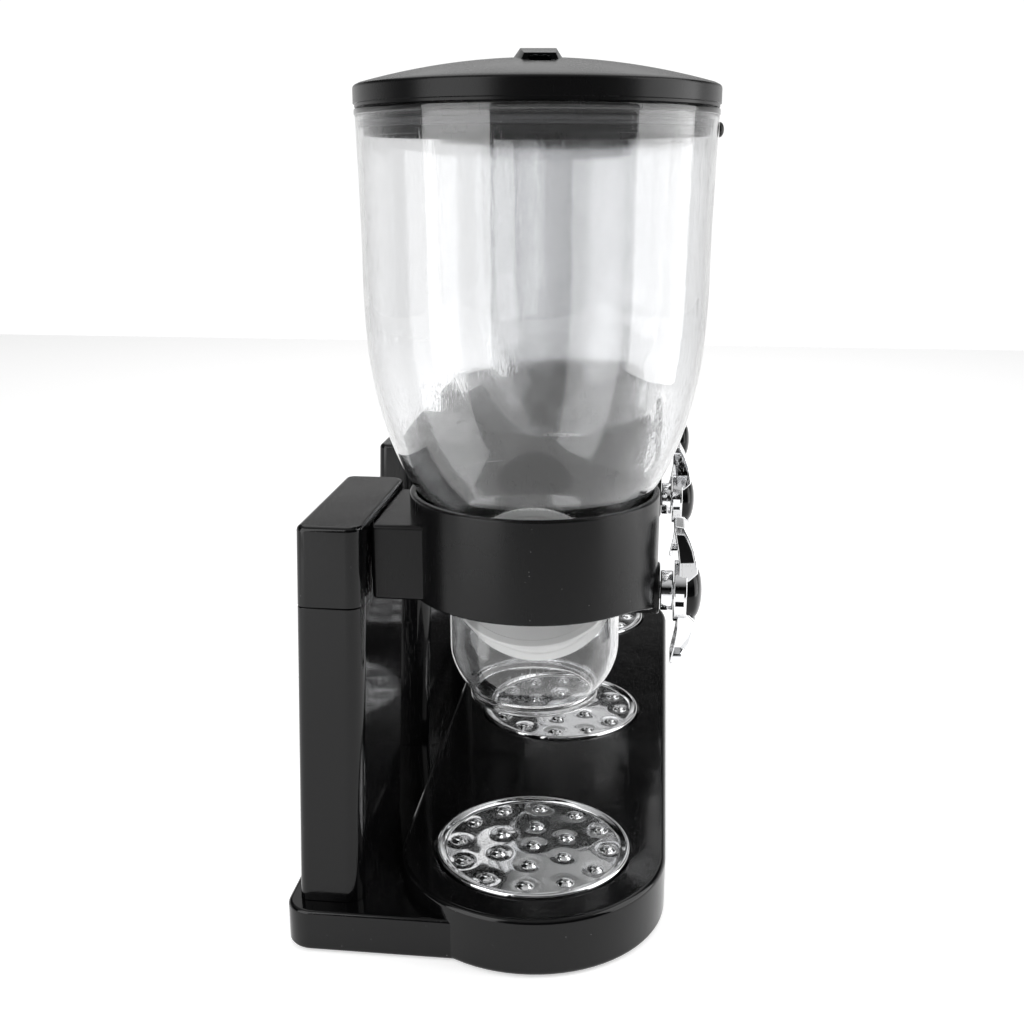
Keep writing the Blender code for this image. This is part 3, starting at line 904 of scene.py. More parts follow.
# ---------------------------------------------------------------- base

@dataclass
class Base(SubAssembly):
    """The long moulded base: a strip under the columns and a round-ended platform."""

    half_length: float = 0.2143
    back_reach: float = 0.1065
    back_corner: float = 0.0120
    front_corner: float = 0.0040
    platform_radius: float = 0.0625
    platform_top: float = 0.0285
    bottom: float = 0.0010
    wall: float = 0.0025
    seat_radius: float = 0.0462
    seat_depth: float = 0.0025
    strip_round: float = 0.0018
    platform_round: float = 0.0026
    seat_round: float = 0.0006
    tool_past: float = 0.005

    def build(self) -> None:
        """Models and dresses the base."""
        shell = self.outer()
        for tool in self.hollows():
            with_tool(shell, tool, Cut.REMOVE)
        for station in STATIONS:
            seat = self.seat()
            shift(seat, ((station - MODEL_STATION) * self.layout.pitch, 0.0, 0.0))
            with_tool(shell, seat, Cut.REMOVE)
        shift(shell, (0.0, self.layout.axis_y, 0.0))
        smooth(shell, 28.0)
        self.wardrobe.dress(shell, "black_plastic", "frame", "base_shell")
        LOG.info("base_moulding: 1 piece")

    def strip(self, name: str, inset: float, low: float, high: float) -> Piece:
        """The strip under the columns, drawn in by an inset."""
        corner = (self.half_length - inset, self.back_reach - inset)
        radii = (self.front_corner, self.back_corner - inset)
        outline = rounded_rectangle((-corner[0], inset), corner, *radii, 10)
        return slab(name, outline, low, high)

    def platform(self, name: str, inset: float, low: float, high: float) -> Piece:
        """The round-ended platform under the canisters, drawn in by an inset."""
        return slab(name, stadium(self.layout.pitch, self.platform_radius - inset, 40), low, high)

    def outer(self) -> Piece:
        """The outside of both, joined."""
        strip = self.strip("base_moulding", 0.0, self.bottom, self.layout.strip_top)
        rounded(strip, self.strip_round, 4, 60)
        platform = self.platform("platform", 0.0, self.bottom, self.platform_top)
        rounded(platform, self.platform_round, 5, 60)
        return with_tool(strip, platform, Cut.JOIN)

    def hollows(self) -> list[Piece]:
        """The space inside the shell."""
        below = self.bottom - self.tool_past
        strip_roof = self.layout.strip_top - self.wall
        platform_roof = self.platform_top - self.seat_depth - self.wall
        return [
            self.strip("strip_hollow", self.wall, below, strip_roof),
            self.platform("platform_hollow", self.wall, below, platform_roof),
        ]

    def seat(self) -> Piece:
        """The round seat of a plate, with an eased edge."""
        floor = self.platform_top - self.seat_depth
        edge = self.platform_top - self.seat_round
        mouth = self.seat_radius + self.seat_round
        above = self.platform_top + self.tool_past
        profile = [(0.0, floor), (self.seat_radius, floor), (self.seat_radius, edge)]
        profile += [(mouth, self.platform_top + TOUCH), (mouth, above), (0.0, above)]
        return turned("seat", profile, 160)


# ---------------------------------------------------------------- columns

@dataclass
class Columns(SubAssembly):
    """The posts and their caps, which lean a little forward."""

    half_width: float = 0.0455
    depth: float = 0.0288
    foot_front: float = 0.0724
    top: float = 0.1955
    seam: float = 0.1600
    lean: float = 0.033
    wall: float = 0.0024
    front_corner: float = 0.0075
    back_corner: float = 0.0045
    floor: float = 0.0040
    top_round: float = 0.0022
    seam_round: float = 0.0004

    def build(self) -> None:
        """Models and dresses every post and cap."""
        post = self.cup("post", self.layout.strip_top + GAP, self.seam - GAP / 2, open_top=True)
        cap = self.cup("cap", self.seam + GAP / 2, self.top, open_top=False)
        for piece in (post, cap):
            smooth(piece, 28.0)
        self.spread(post, "column_moulding", "black_plastic", "frame", "column_post")
        self.spread(cap, "column_crown", "black_plastic", "frame", "column_cap")

    def cup(self, name: str, low: float, high: float, open_top: bool) -> Piece:
        """A leaning block hollowed from one end.

        Args:
            name: The new object's name.
            low: Its lowest height.
            high: Its highest height.
            open_top: Whether it is hollowed from above, and else from below.

        Returns:
            The hollow piece.
        """
        ahead = -self.lean * (low - self.layout.strip_top)
        outline = rounded_rectangle(
            (-self.half_width, self.foot_front + ahead),
            (self.half_width, self.foot_front + self.depth + ahead),
            self.front_corner, self.back_corner, 9,
        )
        piece = slab(name, outline, low, high, (0.0, -self.lean * (high - low)))
        if not open_top:
            self.ease_end(piece, high, self.top_round, 4)
        self.ease_end(piece, high if open_top else low, self.seam_round, 2)
        reach = high - low - (self.floor if open_top else self.wall)
        side = -1.0 if open_top else 1.0
        edit(piece)
        pick_faces(piece, level_at(high if open_top else low))
        bpy.ops.mesh.inset(thickness=self.wall, depth=0.0)
        sink = (0.0, -self.lean * reach * side, reach * side)
        bpy.ops.mesh.extrude_region_move(TRANSFORM_OT_translate={"value": sink})
        close_edit()
        return piece

    def ease_end(self, piece: Piece, height: float, width: float, segments: int) -> None:
        """Rounds the edge round one end of a block.

        Args:
            piece: The block.
            height: The end's height.
            width: The rounding's width.
            segments: How many strips it has.
        """
        edit(piece)
        pick_faces(piece, level_at(height))
        bpy.ops.mesh.bevel(offset=width, segments=segments, profile=0.5, affect="EDGES", clamp_overlap=True)
        close_edit()


# ---------------------------------------------------------------- ring bracket

@dataclass
class RingBrackets(SubAssembly):
    """The satin ring round each canister's foot, its arm and the boss for the shaft."""

    radius: float = 0.0545
    wall: float = 0.0030
    top: float = 0.2035
    bottom: float = 0.1590
    lip: float = 0.0011
    web_top: float = 0.1715
    web_thickness: float = 0.0025
    web_hole: float = 0.0383
    arm_half_width: float = 0.0315
    arm_top: float = 0.1932
    arm_start: float = 0.0400
    arm_round: float = 0.0020
    boss_radius: float = 0.0115
    boss_front: float = 0.0556
    boss_rise: float = 0.0010
    bush_bore: float = 0.0077
    boss_round: float = 0.0012
    bore_span: Pair = (0.030, 0.060)
    band_step: float = 0.010
    foot_step: float = 0.004
    arm_clear: float = 0.0010
    arm_bite: float = 0.0015
    dip: float = 0.0075
    dip_height: float = 0.012
    dip_spread: float = 52.0

    def build(self) -> None:
        """Models and dresses every bracket."""
        ring = self.ring()
        reshape(ring, self.dipped)
        with_tool(ring, self.arm(), Cut.JOIN)
        with_tool(ring, self.boss(), Cut.JOIN)
        bore = rod("bore", self.bush_bore, *self.bore_span, 40, Axis.FRONT)
        with_tool(ring, shift(bore, (0.0, 0.0, self.layout.shaft_height)), Cut.REMOVE)
        smooth(ring, 30.0)
        self.spread(ring, "bracket_moulding", "black_satin", "frame", "ring_bracket")

    def ring(self) -> Piece:
        """The band with rounded lips and the web that carries the canister."""
        inner = self.radius - self.wall
        web_bottom = self.web_top - self.web_thickness
        lip = self.lip
        profile = arc((self.radius - lip, self.top - lip), lip, 90, 0, 5)
        profile += [(self.radius, self.bottom + self.band_step * part) for part in (3, 2, 1)]
        profile += arc((self.radius - lip, self.bottom + lip), lip, 0, -90, 5)
        profile += [(inner, self.bottom), (inner, self.bottom + self.foot_step), (inner, web_bottom)]
        profile += [(self.web_hole, web_bottom), (self.web_hole, self.web_top), (inner, self.web_top)]
        profile += arc((inner + lip, self.top - lip), lip, 180, 90, 5)
        return turned("ring", profile, 160)

    def dipped(self, point: Vector) -> Vector:
        """Lets the band's lower edge sink towards the front, where the boss is.

        Args:
            point: A point of the band.

        Returns:
            Its new place.
        """
        depth = eased((self.bottom + self.dip_height - point.z) / self.dip_height)
        off_front = abs(math.degrees(math.atan2(point.x, -point.y)))
        near_front = eased(1.0 - off_front / self.dip_spread) ** 2.0
        return point - Vector((0.0, 0.0, self.dip * depth * near_front))

    def arm(self) -> Piece:
        """The arm from the ring to the column."""
        cap_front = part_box(f"column_cap_{MODEL_STATION}")[0].y - self.layout.axis_y
        cap_lean = Columns.lean * (self.top - self.arm_top)
        arm_back = cap_front + cap_lean - GAP
        outline = [(-self.arm_half_width, self.arm_start), (self.arm_half_width, self.arm_start)]
        outline += [(self.arm_half_width, arm_back), (-self.arm_half_width, arm_back)]
        arm = slab("arm", outline, self.bottom + self.arm_clear, self.arm_top)
        rounded(arm, self.arm_round, 4, 60)
        core = rod("core", self.radius - self.wall + self.arm_bite, 0.0, 1.0, 160)
        return with_tool(arm, core, Cut.REMOVE)

    def boss(self) -> Piece:
        """The boss at the front that holds the shaft's bush."""
        edge = self.boss_round
        profile = [(0.0, self.boss_front), (self.boss_radius - edge, self.boss_front)]
        profile += arc((self.boss_radius - edge, self.boss_front - edge), edge, 90, 0, 4)
        profile += [(self.boss_radius, self.web_hole), (0.0, self.web_hole)]
        boss = turned("boss", profile, 72, Axis.FRONT)
        return shift(boss, (0.0, 0.0, self.layout.shaft_height + self.boss_rise))


# ---------------------------------------------------------------- canisters

@dataclass
class Canisters(SubAssembly):
    """The clear bells with their front studs."""

    wall: float = 0.0018
    top: float = 0.3609
    foot: float = 0.1738
    neck_top: float = 0.1885
    neck_radius: float = 0.0384
    lip_radius: float = 0.0736
    lip_height: float = 0.0026
    shoulder_height: float = 0.3000
    shoulder_radius: float = 0.0719
    shoulder_flare: float = 0.0014
    belly_depth: float = 0.1271
    belly_power: float = 2.525
    belly_steps: int = 30
    belly_foot: float = 0.1950
    lip_run_out: float = 0.0012
    edge: float = 0.0006
    neck_flare: Pair = (0.0016, 0.0020)
    bore_drop: float = 0.0005
    bore_flare: Pair = (0.0014, 0.0025)
    slope_step: float = 0.001
    stud_height: float = 0.3530
    stud_radius: float = 0.0030
    stud_rise: float = 0.0018

    def build(self) -> None:
        """Models and dresses every canister and stud."""
        bell = self.bell()
        smooth(bell, 40.0, weighted=False)
        self.spread(bell, "canister_bell", "clear_plastic", "canister_{}", "hopper")
        self.spread(self.stud(), "canister_stud", "black_satin", "canister_{}", "front_stud")

    def radius_at(self, height: float) -> float:
        """The outer radius: a slight flare above the shoulder and a rounded belly below it.

        Args:
            height: The height above the table.

        Returns:
            The radius.
        """
        if height >= self.shoulder_height:
            rise = (height - self.shoulder_height) / (self.top - self.shoulder_height)
            return self.shoulder_radius + self.shoulder_flare * rise ** 1.6
        drop = (self.shoulder_height - height) / self.belly_depth
        return self.shoulder_radius * math.sqrt(max(0.0, 1.0 - drop ** self.belly_power))

    def bell(self) -> Piece:
        """The clear wall, from its lip to its neck and back up inside."""
        lip_bottom = self.top - self.lip_height
        span = lip_bottom - self.lip_run_out - self.belly_foot
        steps = self.belly_steps
        heights = [self.belly_foot + span * (1.0 - step / steps) for step in range(steps + 1)]
        edge = self.edge
        outer = arc((self.lip_radius - edge, self.top - edge), edge, 90, 0, 3)
        outer += arc((self.lip_radius - edge, lip_bottom + edge), edge, 0, -60, 3)
        outer += [(self.radius_at(height), height) for height in heights]
        outer += [(self.neck_radius + self.neck_flare[0], self.neck_top + self.neck_flare[1])]
        outer += [(self.neck_radius, self.neck_top), (self.neck_radius, self.foot)]
        bore = self.neck_radius - self.wall
        inner = [(bore, self.foot), (bore, self.neck_top + self.bore_drop)]
        inner += [(bore + self.bore_flare[0], self.neck_top + self.bore_flare[1])]
        inner += [self.inside_at(height) for height in reversed(heights)]
        mouth = self.lip_radius - self.wall
        inner += [(mouth, self.top - edge), (mouth + edge, self.top)]
        return turned("bell", outer + inner, 144)

    def inside_at(self, height: float) -> Pair:
        """The point of the inner surface that faces a height of the outer one.

        Args:
            height: The height on the outer surface.

        Returns:
            The inner point's radius and height.
        """
        step = self.slope_step
        lean = math.atan((self.radius_at(height + step) - self.radius_at(height - step)) / (2 * step))
        inset = self.wall * math.cos(lean)
        return (self.radius_at(height) - inset, height + self.wall * math.sin(lean))

    def stud(self) -> Piece:
        """A small domed button on the front of the canister, just below its rim."""
        angles = [math.radians(angle) for angle in range(0, 91, 15)]
        profile = [(self.stud_radius * math.sin(angle), self.stud_rise * math.cos(angle)) for angle in angles]
        profile += [(0.0, 0.0)]
        stud = turned("stud", profile, 40, Axis.FRONT)
        smooth(stud, 50.0, weighted=False)
        back = self.radius_at(self.stud_height) + GAP
        return shift(stud, (0.0, -back, self.stud_height))


# ---------------------------------------------------------------- lids

@dataclass
class Lids(SubAssembly):
    """The satin lids with their plugs, seals and low grips."""

    radius: float = 0.0738
    rim_bottom: float = 0.3612
    rim_top: float = 0.3690
    shoulder: float = 0.0014
    crown: float = 0.3803
    wall: float = 0.0022
    plug_radius: float = 0.0700
    plug_bottom: float = 0.3505
    seal_bottom: float = 0.3535
    seal_top: float = 0.3565
    lip_height: float = 0.0013
    lip_depth: float = 0.0006
    band_edge: float = 0.0003
    plug_edge: float = 0.0005
    bore_edge: float = 0.0004
    groove_play: float = 0.0002
    crown_rise: float = 0.0012
    crown_edge: float = 0.0006
    seal_reach: float = 0.0012
    rib_radius: float = 0.0006
    rib_valley: float = 0.0004
    grip_half_length: float = 0.0380
    grip_turn: float = 7.3
    grip_half_width: float = 0.0125
    grip_end_half_width: float = 0.0074
    grip_top_share: float = 0.55
    grip_top: float = 0.3838
    grip_end_top: float = 0.3797
    grip_round: float = 0.0012
    hole_half_width: float = 0.0044
    hole_depth: float = 0.0110
    hole_bottom: float = 0.3763
    hole_top: float = 0.3789

    def build(self) -> None:
        """Models and dresses every lid and seal."""
        cover = self.cover()
        with_tool(cover, self.grip(), Cut.JOIN)
        for end in (-1.0, 1.0):
            with_tool(cover, self.finger_hole(end), Cut.REMOVE)
        smooth(cover, 30.0)
        self.spread(cover, "lid_moulding", "black_satin", "cover_{}", "lid")
        self.spread(self.seal(), "lid_gasket", "seal_silicone", "cover_{}", "lid_seal")

    def dome_height(self, radius: float) -> float:
        """The height of the lid's shallow dome at a radius."""
        edge = self.radius - self.shoulder
        low = self.rim_top + self.crown_rise
        return low + (self.crown - low) * (1.0 - (radius / edge) ** 2)

    def cover(self) -> Piece:
        """The dome, the band round it and the plug below."""
        edge = self.radius - self.shoulder
        inside = self.plug_radius - self.wall
        near_edge = edge - self.crown_edge
        ease = self.groove_play
        lip = self.radius - self.lip_depth
        lip_top = self.rim_bottom + self.lip_height
        plug = self.plug_radius
        profile = [(edge * step / 14, self.dome_height(edge * step / 14)) for step in range(14)]
        profile += [(near_edge, self.dome_height(near_edge))]
        profile += arc((edge - ease, self.rim_top - self.crown_edge), self.shoulder + ease, 75, 0, 5)
        profile += [(self.radius, lip_top + self.band_edge), (lip, lip_top)]
        profile += [(lip, self.rim_bottom + self.band_edge), (lip - self.band_edge, self.rim_bottom)]
        profile += [(plug, self.rim_bottom), (plug, self.seal_top + ease)]
        profile += [(plug, self.seal_bottom - ease), (plug, self.plug_bottom + self.plug_edge)]
        profile += [(plug - self.plug_edge, self.plug_bottom), (inside + self.bore_edge, self.plug_bottom)]
        profile += [(inside, self.plug_bottom + self.bore_edge)]
        roof = [inside * part / 6 for part in range(6, -1, -1)]
        profile += [(radius, self.dome_height(radius) - self.wall) for radius in roof]
        return turned("cover", profile, 160)

    def grip(self) -> Piece:
        """A low ridge across the lid, widest in the middle, with sloping sides; the holes in its ends are cut
        by finger_hole.
        """
        rise = self.grip_half_width - self.grip_end_half_width
        sweep = (self.grip_half_length ** 2 + rise ** 2) / (2 * rise)
        spread = math.degrees(math.asin(self.grip_half_length / sweep))
        side = arc((0.0, self.grip_half_width - sweep), sweep, 90 + spread, 90 - spread, 20)
        outline = side + [(-x, -y) for x, y in side]
        foot = self.dome_height(self.grip_half_length) - self.wall / 2
        block = slab("grip", outline, foot, self.grip_top)
        edit(block)
        pick_faces(block, level_at(self.grip_top))
        narrower = (1.0, self.grip_top_share, 1.0)
        bpy.ops.transform.resize(value=narrower, center_override=(0.0, 0.0, self.grip_top))
        close_edit()
        crown_radius = self.grip_half_length ** 2 / (2 * (self.grip_top - self.grip_end_top))
        reach = 2 * self.grip_half_width
        crown = rod("crown", crown_radius, -reach, reach, 720, Axis.FRONT)
        with_tool(block, shift(crown, (0.0, 0.0, self.grip_top - crown_radius)), Cut.KEEP_SHARED)
        rounded(block, self.grip_round, 4, 40)
        return turn(block, self.grip_turn, "Z")

    def finger_hole(self, end: float) -> Piece:
        """The space of the hole at one end of the grip.

        Args:
            end: -1 or 1.

        Returns:
            The tool.
        """
        radius = (self.hole_top - self.hole_bottom) / 2
        outline = stadium(self.hole_half_width - radius, radius, 10)
        hole = slab("hole", outline, -self.hole_depth, self.hole_depth)
        turn(hole, 90.0, "X")
        turn(hole, 90.0, "Z")
        shift(hole, (end * self.grip_half_length, 0.0, (self.hole_top + self.hole_bottom) / 2))
        return turn(hole, self.grip_turn, "Z")

    def seal(self) -> Piece:
        """The soft ring in the plug's groove, with two small ribs."""
        middle = (self.seal_bottom + self.seal_top) / 2
        rib = self.rib_radius
        out = self.plug_radius + self.seal_reach
        bore = self.plug_radius + GAP
        profile = arc((out - rib, self.seal_top - rib), rib, 90, -30, 5)
        profile += [(out - self.rib_valley, middle)]
        profile += arc((out - rib, self.seal_bottom + rib), rib, 30, -90, 5)
        profile += [(bore, self.seal_bottom), (bore, self.seal_top)]
        seal = turned("seal", profile, 144)
        return smooth(seal, 50.0, weighted=False)


# ---------------------------------------------------------------- chutes

@dataclass
class Chutes(SubAssembly):
    """The clear bowls round the rotors' lower halves."""

    radius: float = 0.0380
    wall: float = 0.0014
    flange_radius: float = 0.0470
    top: float = 0.1735
    web_top: float = 0.1715
    straight: float = 0.1330
    outlet_radius: float = 0.0290
    outlet_bottom: float = 0.1075
    outlet_wall: float = 0.0028
    outlet_height: float = 0.0040
    front_bore: float = 0.0050
    rear_bore: float = 0.0067
    bore_span: Pair = (0.030, 0.045)
    flange_edge: float = 0.0003
    belt: float = 0.152
    waist_step: float = 0.0008
    belly_steps: int = 16
    belly_power: float = 0.75
    outlet_round: float = 0.0007
    outlet_step: float = 0.0006
    outlet_edge: float = 0.0004

    def build(self) -> None:
        """Models and dresses every chute."""
        bowl = self.bowl()
        near, far = self.bore_span
        for radius, low, high in ((self.front_bore, near, far), (self.rear_bore, -far, -near)):
            bore = rod("bore", radius, low, high, 40, Axis.FRONT)
            with_tool(bowl, shift(bore, (0.0, 0.0, self.layout.shaft_height)), Cut.REMOVE)
        smooth(bowl, 40.0, weighted=False)
        self.spread(bowl, "chute_bowl", "clear_plastic", "frame", "chute")

    def bowl(self) -> Piece:
        """The wall from its flange to its outlet and back up inside."""
        outlet_top = self.outlet_bottom + self.outlet_height
        flange_bottom = self.web_top + GAP
        outer = [(self.flange_radius, self.top - self.flange_edge), (self.flange_radius, flange_bottom)]
        outer += [(self.radius, flange_bottom), (self.radius, self.belt)]
        inner = [(self.radius - self.wall, self.top), (self.radius - self.wall, self.belt)]
        waist = self.outlet_radius - self.waist_step
        for step in range(self.belly_steps + 1):
            share = step / self.belly_steps
            height = self.straight - (self.straight - outlet_top) * share
            swell = math.cos(share * math.pi / 2) ** self.belly_power
            here = waist + (self.radius - waist) * swell
            outer.append((here, height))
            inner.append((here - self.wall, height))
        rim = self.outlet_round
        outer += arc((self.outlet_radius - rim, outlet_top - self.outlet_step - rim), rim, 60, 0, 3)
        outer += arc((self.outlet_radius - rim, self.outlet_bottom + rim), rim, 0, -90, 4)
        mouth = self.outlet_radius - self.outlet_wall
        inner[-1] = (mouth, outlet_top + self.outlet_edge)
        inner += [(mouth, self.outlet_bottom + self.outlet_edge)]
        inner += [(mouth + self.outlet_edge, self.outlet_bottom)]
        return turned("bowl", outer + list(reversed(inner)), 128)


# ---------------------------------------------------------------- rotors

@dataclass
class Rotors(SubAssembly):
    """The soft paddle wheels and the bushes that carry their shafts."""

    radius: float = 0.0357
    blades: int = 6
    thickness: float = 0.0022
    bead: float = 0.0028
    bead_step: float = 0.00045
    hub_radius: float = 0.0075
    shaft_radius: float = 0.0040
    shaft_bore: float = 0.0046
    bush_radius: float = 0.0074
    hub_inset: float = 0.0010
    hub_edge: float = 0.0006
    hub_bite: float = 0.002
    blade_half: float = 0.0317
    blade_end: float = 0.0342
    blade_round: float = 0.0005
    bead_slope: float = 0.0006
    bush_edge: float = 0.0004
    flange_radius: float = 0.0080
    flange_depth: float = 0.0020
    sleeve_radius: float = 0.0062

    def build(self) -> None:
        """Models and dresses every rotor and bush."""
        wheel = self.wheel()
        smooth(wheel, 32.0)
        height = self.layout.shaft_height
        self.spread(wheel, "paddle_wheel", "white_silicone", "dial_{}", "rotor", height)
        self.spread(self.front_bush(), "front_sleeve", "white_plastic", "frame", "front_bush", height)
        self.spread(self.rear_bush(), "rear_sleeve", "white_plastic", "frame", "rear_bush", height)

    def wheel(self) -> Piece:
        """Half-round blades with thicker rims on a hub that slides on the shaft."""
        hub_half = self.radius - self.hub_inset
        edge = self.hub_edge
        hub = self.hub_radius
        profile = [(0.0, hub_half), (hub - edge, hub_half), (hub, hub_half - edge)]
        profile += [(hub, -hub_half + edge), (hub - edge, -hub_half), (0.0, -hub_half)]
        wheel = turned("wheel", profile, 48, Axis.FRONT)
        blade = self.blade()
        for number in range(self.blades):
            copy = twin(blade, "blade", (0.0, 0.0, 0.0))
            turn(copy, 360.0 * number / self.blades + 90.0, "Y")
            with_tool(wheel, copy, Cut.JOIN)
        bpy.data.objects.remove(blade)
        bore = rod("bore", self.shaft_radius + GAP, -2 * hub_half, 2 * hub_half, 6, Axis.FRONT)
        return with_tool(wheel, bore, Cut.REMOVE)

    def blade(self) -> Piece:
        """One blade in the XY plane, thinner inside its rim."""
        start = self.hub_radius - self.hub_bite
        reach = math.degrees(math.asin(self.blade_end / self.radius))
        outline = [(start, self.blade_half), (start, -self.blade_half)]
        outline += arc((0.0, 0.0), self.radius, -reach, reach, 40)
        blade = slab("blade_model", outline, -self.thickness / 2, self.thickness / 2)
        rounded(blade, self.blade_round, 3, 60)
        edit(blade)
        pick_faces(blade, lambda middle, normal: abs(normal.z) > LEVEL
                   and abs(abs(middle.z) - self.thickness / 2) < TOUCH)
        bpy.ops.mesh.inset(thickness=self.bead, depth=0.0)
        bpy.ops.mesh.inset(thickness=self.bead_slope, depth=-self.bead_step)
        close_edit()
        return blade

    def front_bush(self) -> Piece:
        """The sleeve in the boss."""
        back = Chutes.radius + 2 * GAP
        front = RingBrackets.boss_front - GAP
        edge = self.bush_edge
        bush = turned("front_bush", [
            (self.bush_radius - edge, front), (self.bush_radius, front - edge), (self.bush_radius, back),
            (self.shaft_bore, back), (self.shaft_bore, front - edge), (self.shaft_bore + edge, front),
        ], 48, Axis.FRONT)
        return smooth(bush, 30.0, weighted=False)

    def rear_bush(self) -> Piece:
        """The flanged sleeve in the chute's back wall."""
        wall = Chutes.radius + GAP
        inside = self.radius + GAP
        edge = self.bush_edge
        back = wall + self.flange_depth
        bush = turned("rear_bush", [
            (self.sleeve_radius, -inside), (self.sleeve_radius, -wall), (self.flange_radius, -wall),
            (self.flange_radius, edge - back), (self.flange_radius - edge, -back),
            (self.shaft_bore, -back), (self.shaft_bore, -inside),
        ], 48, Axis.FRONT)
        return smooth(bush, 30.0, weighted=False)


# ---------------------------------------------------------------- knobs

@dataclass
class Knobs(SubAssembly):
    """The chrome two-winged knobs with their black buttons and chrome necks."""

    back: float = -0.0617
    half_span: float = 0.0315
    root_half_width: float = 0.0100
    tip_half_width: float = 0.0078
    wing_back: float = -0.0635
    tip_back: float = -0.0608
    tip_front: float = -0.0652
    shoulder: float = -0.0717
    seat: float = -0.0667
    cap_radius: float = 0.0122
    cap_crown: float = 0.0740
    cap_rim: float = 0.0018
    cap_power: float = 0.8
    neck_radius: float = 0.0088
    neck_edge: float = 0.0006
    hub_wall: float = 0.0010
    hub_rise: float = 0.0006
    hub_round: float = 0.0004
    socket_span: Pair = (0.050, 0.0662)
    edge: float = 0.0007
    window_shallow: float = 0.0007
    window_deep: float = 0.0036
    pocket_half_height: float = 0.0029
    pocket_depth: float = 0.0022
    pocket_rims: Pair = (0.0006, 0.0007)

    def build(self) -> None:
        """Models and dresses every knob, button and neck."""
        height = self.layout.shaft_height
        handle = self.handle()
        smooth(handle, 30.0)
        self.spread(handle, "knob_handle", "chrome", "dial_{}", "knob", height)
        self.spread(self.button(), "knob_button", "black_plastic", "dial_{}", "knob_cap", height)
        self.spread(self.neck(), "knob_neck", "chrome", "dial_{}", "knob_collar", height)

    def side(self) -> list[Pair]:
        """The handle's outline seen from its side, as depths and heights."""
        tip = self.half_span
        upper = [
            (self.wing_back, tip * 0.48), (self.wing_back + 0.0007, tip * 0.66),
            (self.tip_back, tip - 0.0008), (self.tip_back - 0.0008, tip),
            (self.tip_front, tip - 0.0005), (self.tip_front - 0.0026, tip * 0.83),
            (self.shoulder + 0.0018, tip * 0.66), (self.shoulder + 0.0005, tip * 0.48),
            (self.shoulder, tip * 0.35), (self.seat, tip * 0.19),
        ]
        return upper + [(depth, -height) for depth, height in reversed(upper)]

    def half_width_at(self, height: float) -> float:
        """Half the handle's width at a height from its axis."""
        share = max(0.0, (abs(height) - self.neck_radius) / (self.half_span - self.neck_radius))
        return self.root_half_width + (self.tip_half_width - self.root_half_width) * share

    def handle(self) -> Piece:
        """The wings and hub, with a seat for the button and a socket for the shaft."""
        wings = self.stood_up(slab("wings", self.side(), -1.0, 1.0))
        reshape(wings, lambda point: Vector((point.x * self.half_width_at(point.z), point.y, point.z)))
        rounded(wings, self.edge, 4, 24)
        seat_radius = self.cap_radius + GAP
        hub_front = -self.seat + self.hub_rise
        hub = rod("hub", seat_radius + self.hub_wall, -self.back, hub_front, 72, Axis.FRONT)
        rounded(hub, self.hub_round, 3, 60)
        with_tool(wings, hub, Cut.JOIN)
        for side in (-1.0, 1.0):
            for end in (-1.0, 1.0):
                with_tool(wings, self.window(side, end), Cut.REMOVE)
            with_tool(wings, self.pocket(side), Cut.REMOVE)
        with_tool(wings, rod("seat", seat_radius, -self.seat, 0.10, 72, Axis.FRONT), Cut.REMOVE)
        socket = rod("socket", Rotors.shaft_radius + GAP, *self.socket_span, 6, Axis.FRONT)
        return with_tool(wings, socket, Cut.REMOVE)

    def stood_up(self, piece: Piece) -> Piece:
        """Turns a slab so that its outline is seen from the side: depth along Y, height along Z."""
        piece.data.transform(Matrix(((0, 0, 1, 0), (1, 0, 0, 0), (0, 1, 0, 0), (0, 0, 0, 1))))
        return piece

    def window(self, side: float, end: float) -> Piece:
        """The space of the framed recess in one side of one wing, deeper towards the tip.

        Args:
            side: -1 or 1, the side along X.
            end: -1 or 1, the lower or upper wing.

        Returns:
            The tool.
        """
        tip = self.half_span
        outline = [
            (self.wing_back - 0.0006, tip * 0.49), (self.wing_back + 0.0001, tip * 0.66),
            (self.tip_back - 0.0012, tip * 0.895), (self.tip_front - 0.0003, tip * 0.89),
            (self.shoulder + 0.0029, tip * 0.66), (self.shoulder + 0.0017, tip * 0.50),
        ]
        outline = [(depth, height * end) for depth, height in outline]
        window = self.stood_up(slab("window", outline, 0.0, 2 * self.root_half_width))

        def follow_side(point: Vector) -> Vector:
            """Moves a point out to the sloping floor of the recess."""
            share = (abs(point.z) / tip - 0.5) / 0.4
            depth = self.window_shallow + (self.window_deep - self.window_shallow) * share
            return Vector((side * (point.x + self.half_width_at(point.z) - depth), point.y, point.z))

        reshape(window, follow_side)
        outward(window)
        return window

    def pocket(self, side: float) -> Piece:
        """The space of the square recess in one side of the hub.

        Args:
            side: -1 or 1, the side along X.

        Returns:
            The tool.
        """
        out = side * (self.cap_radius + 2 * self.pocket_depth)
        deep = side * (self.cap_radius - self.pocket_depth)
        low = (min(out, deep), self.seat + self.pocket_rims[0], -self.pocket_half_height)
        high = (max(out, deep), self.back - self.pocket_rims[1], self.pocket_half_height)
        return brick("pocket", low, high)

    def button(self) -> Piece:
        """The black domed button in the middle of the knob."""
        seat = -self.seat + GAP
        rim = seat + self.cap_rim
        profile = [(0.0, self.cap_crown)]
        for step in range(1, 12):
            angle = math.radians(90.0 * step / 12)
            rise = (self.cap_crown - rim) * math.cos(angle) ** self.cap_power
            profile.append((self.cap_radius * math.sin(angle), rim + rise))
        profile += [(self.cap_radius, rim), (self.cap_radius, seat), (0.0, seat)]
        button = turned("button", profile, 72, Axis.FRONT)
        return smooth(button, 40.0, weighted=False)

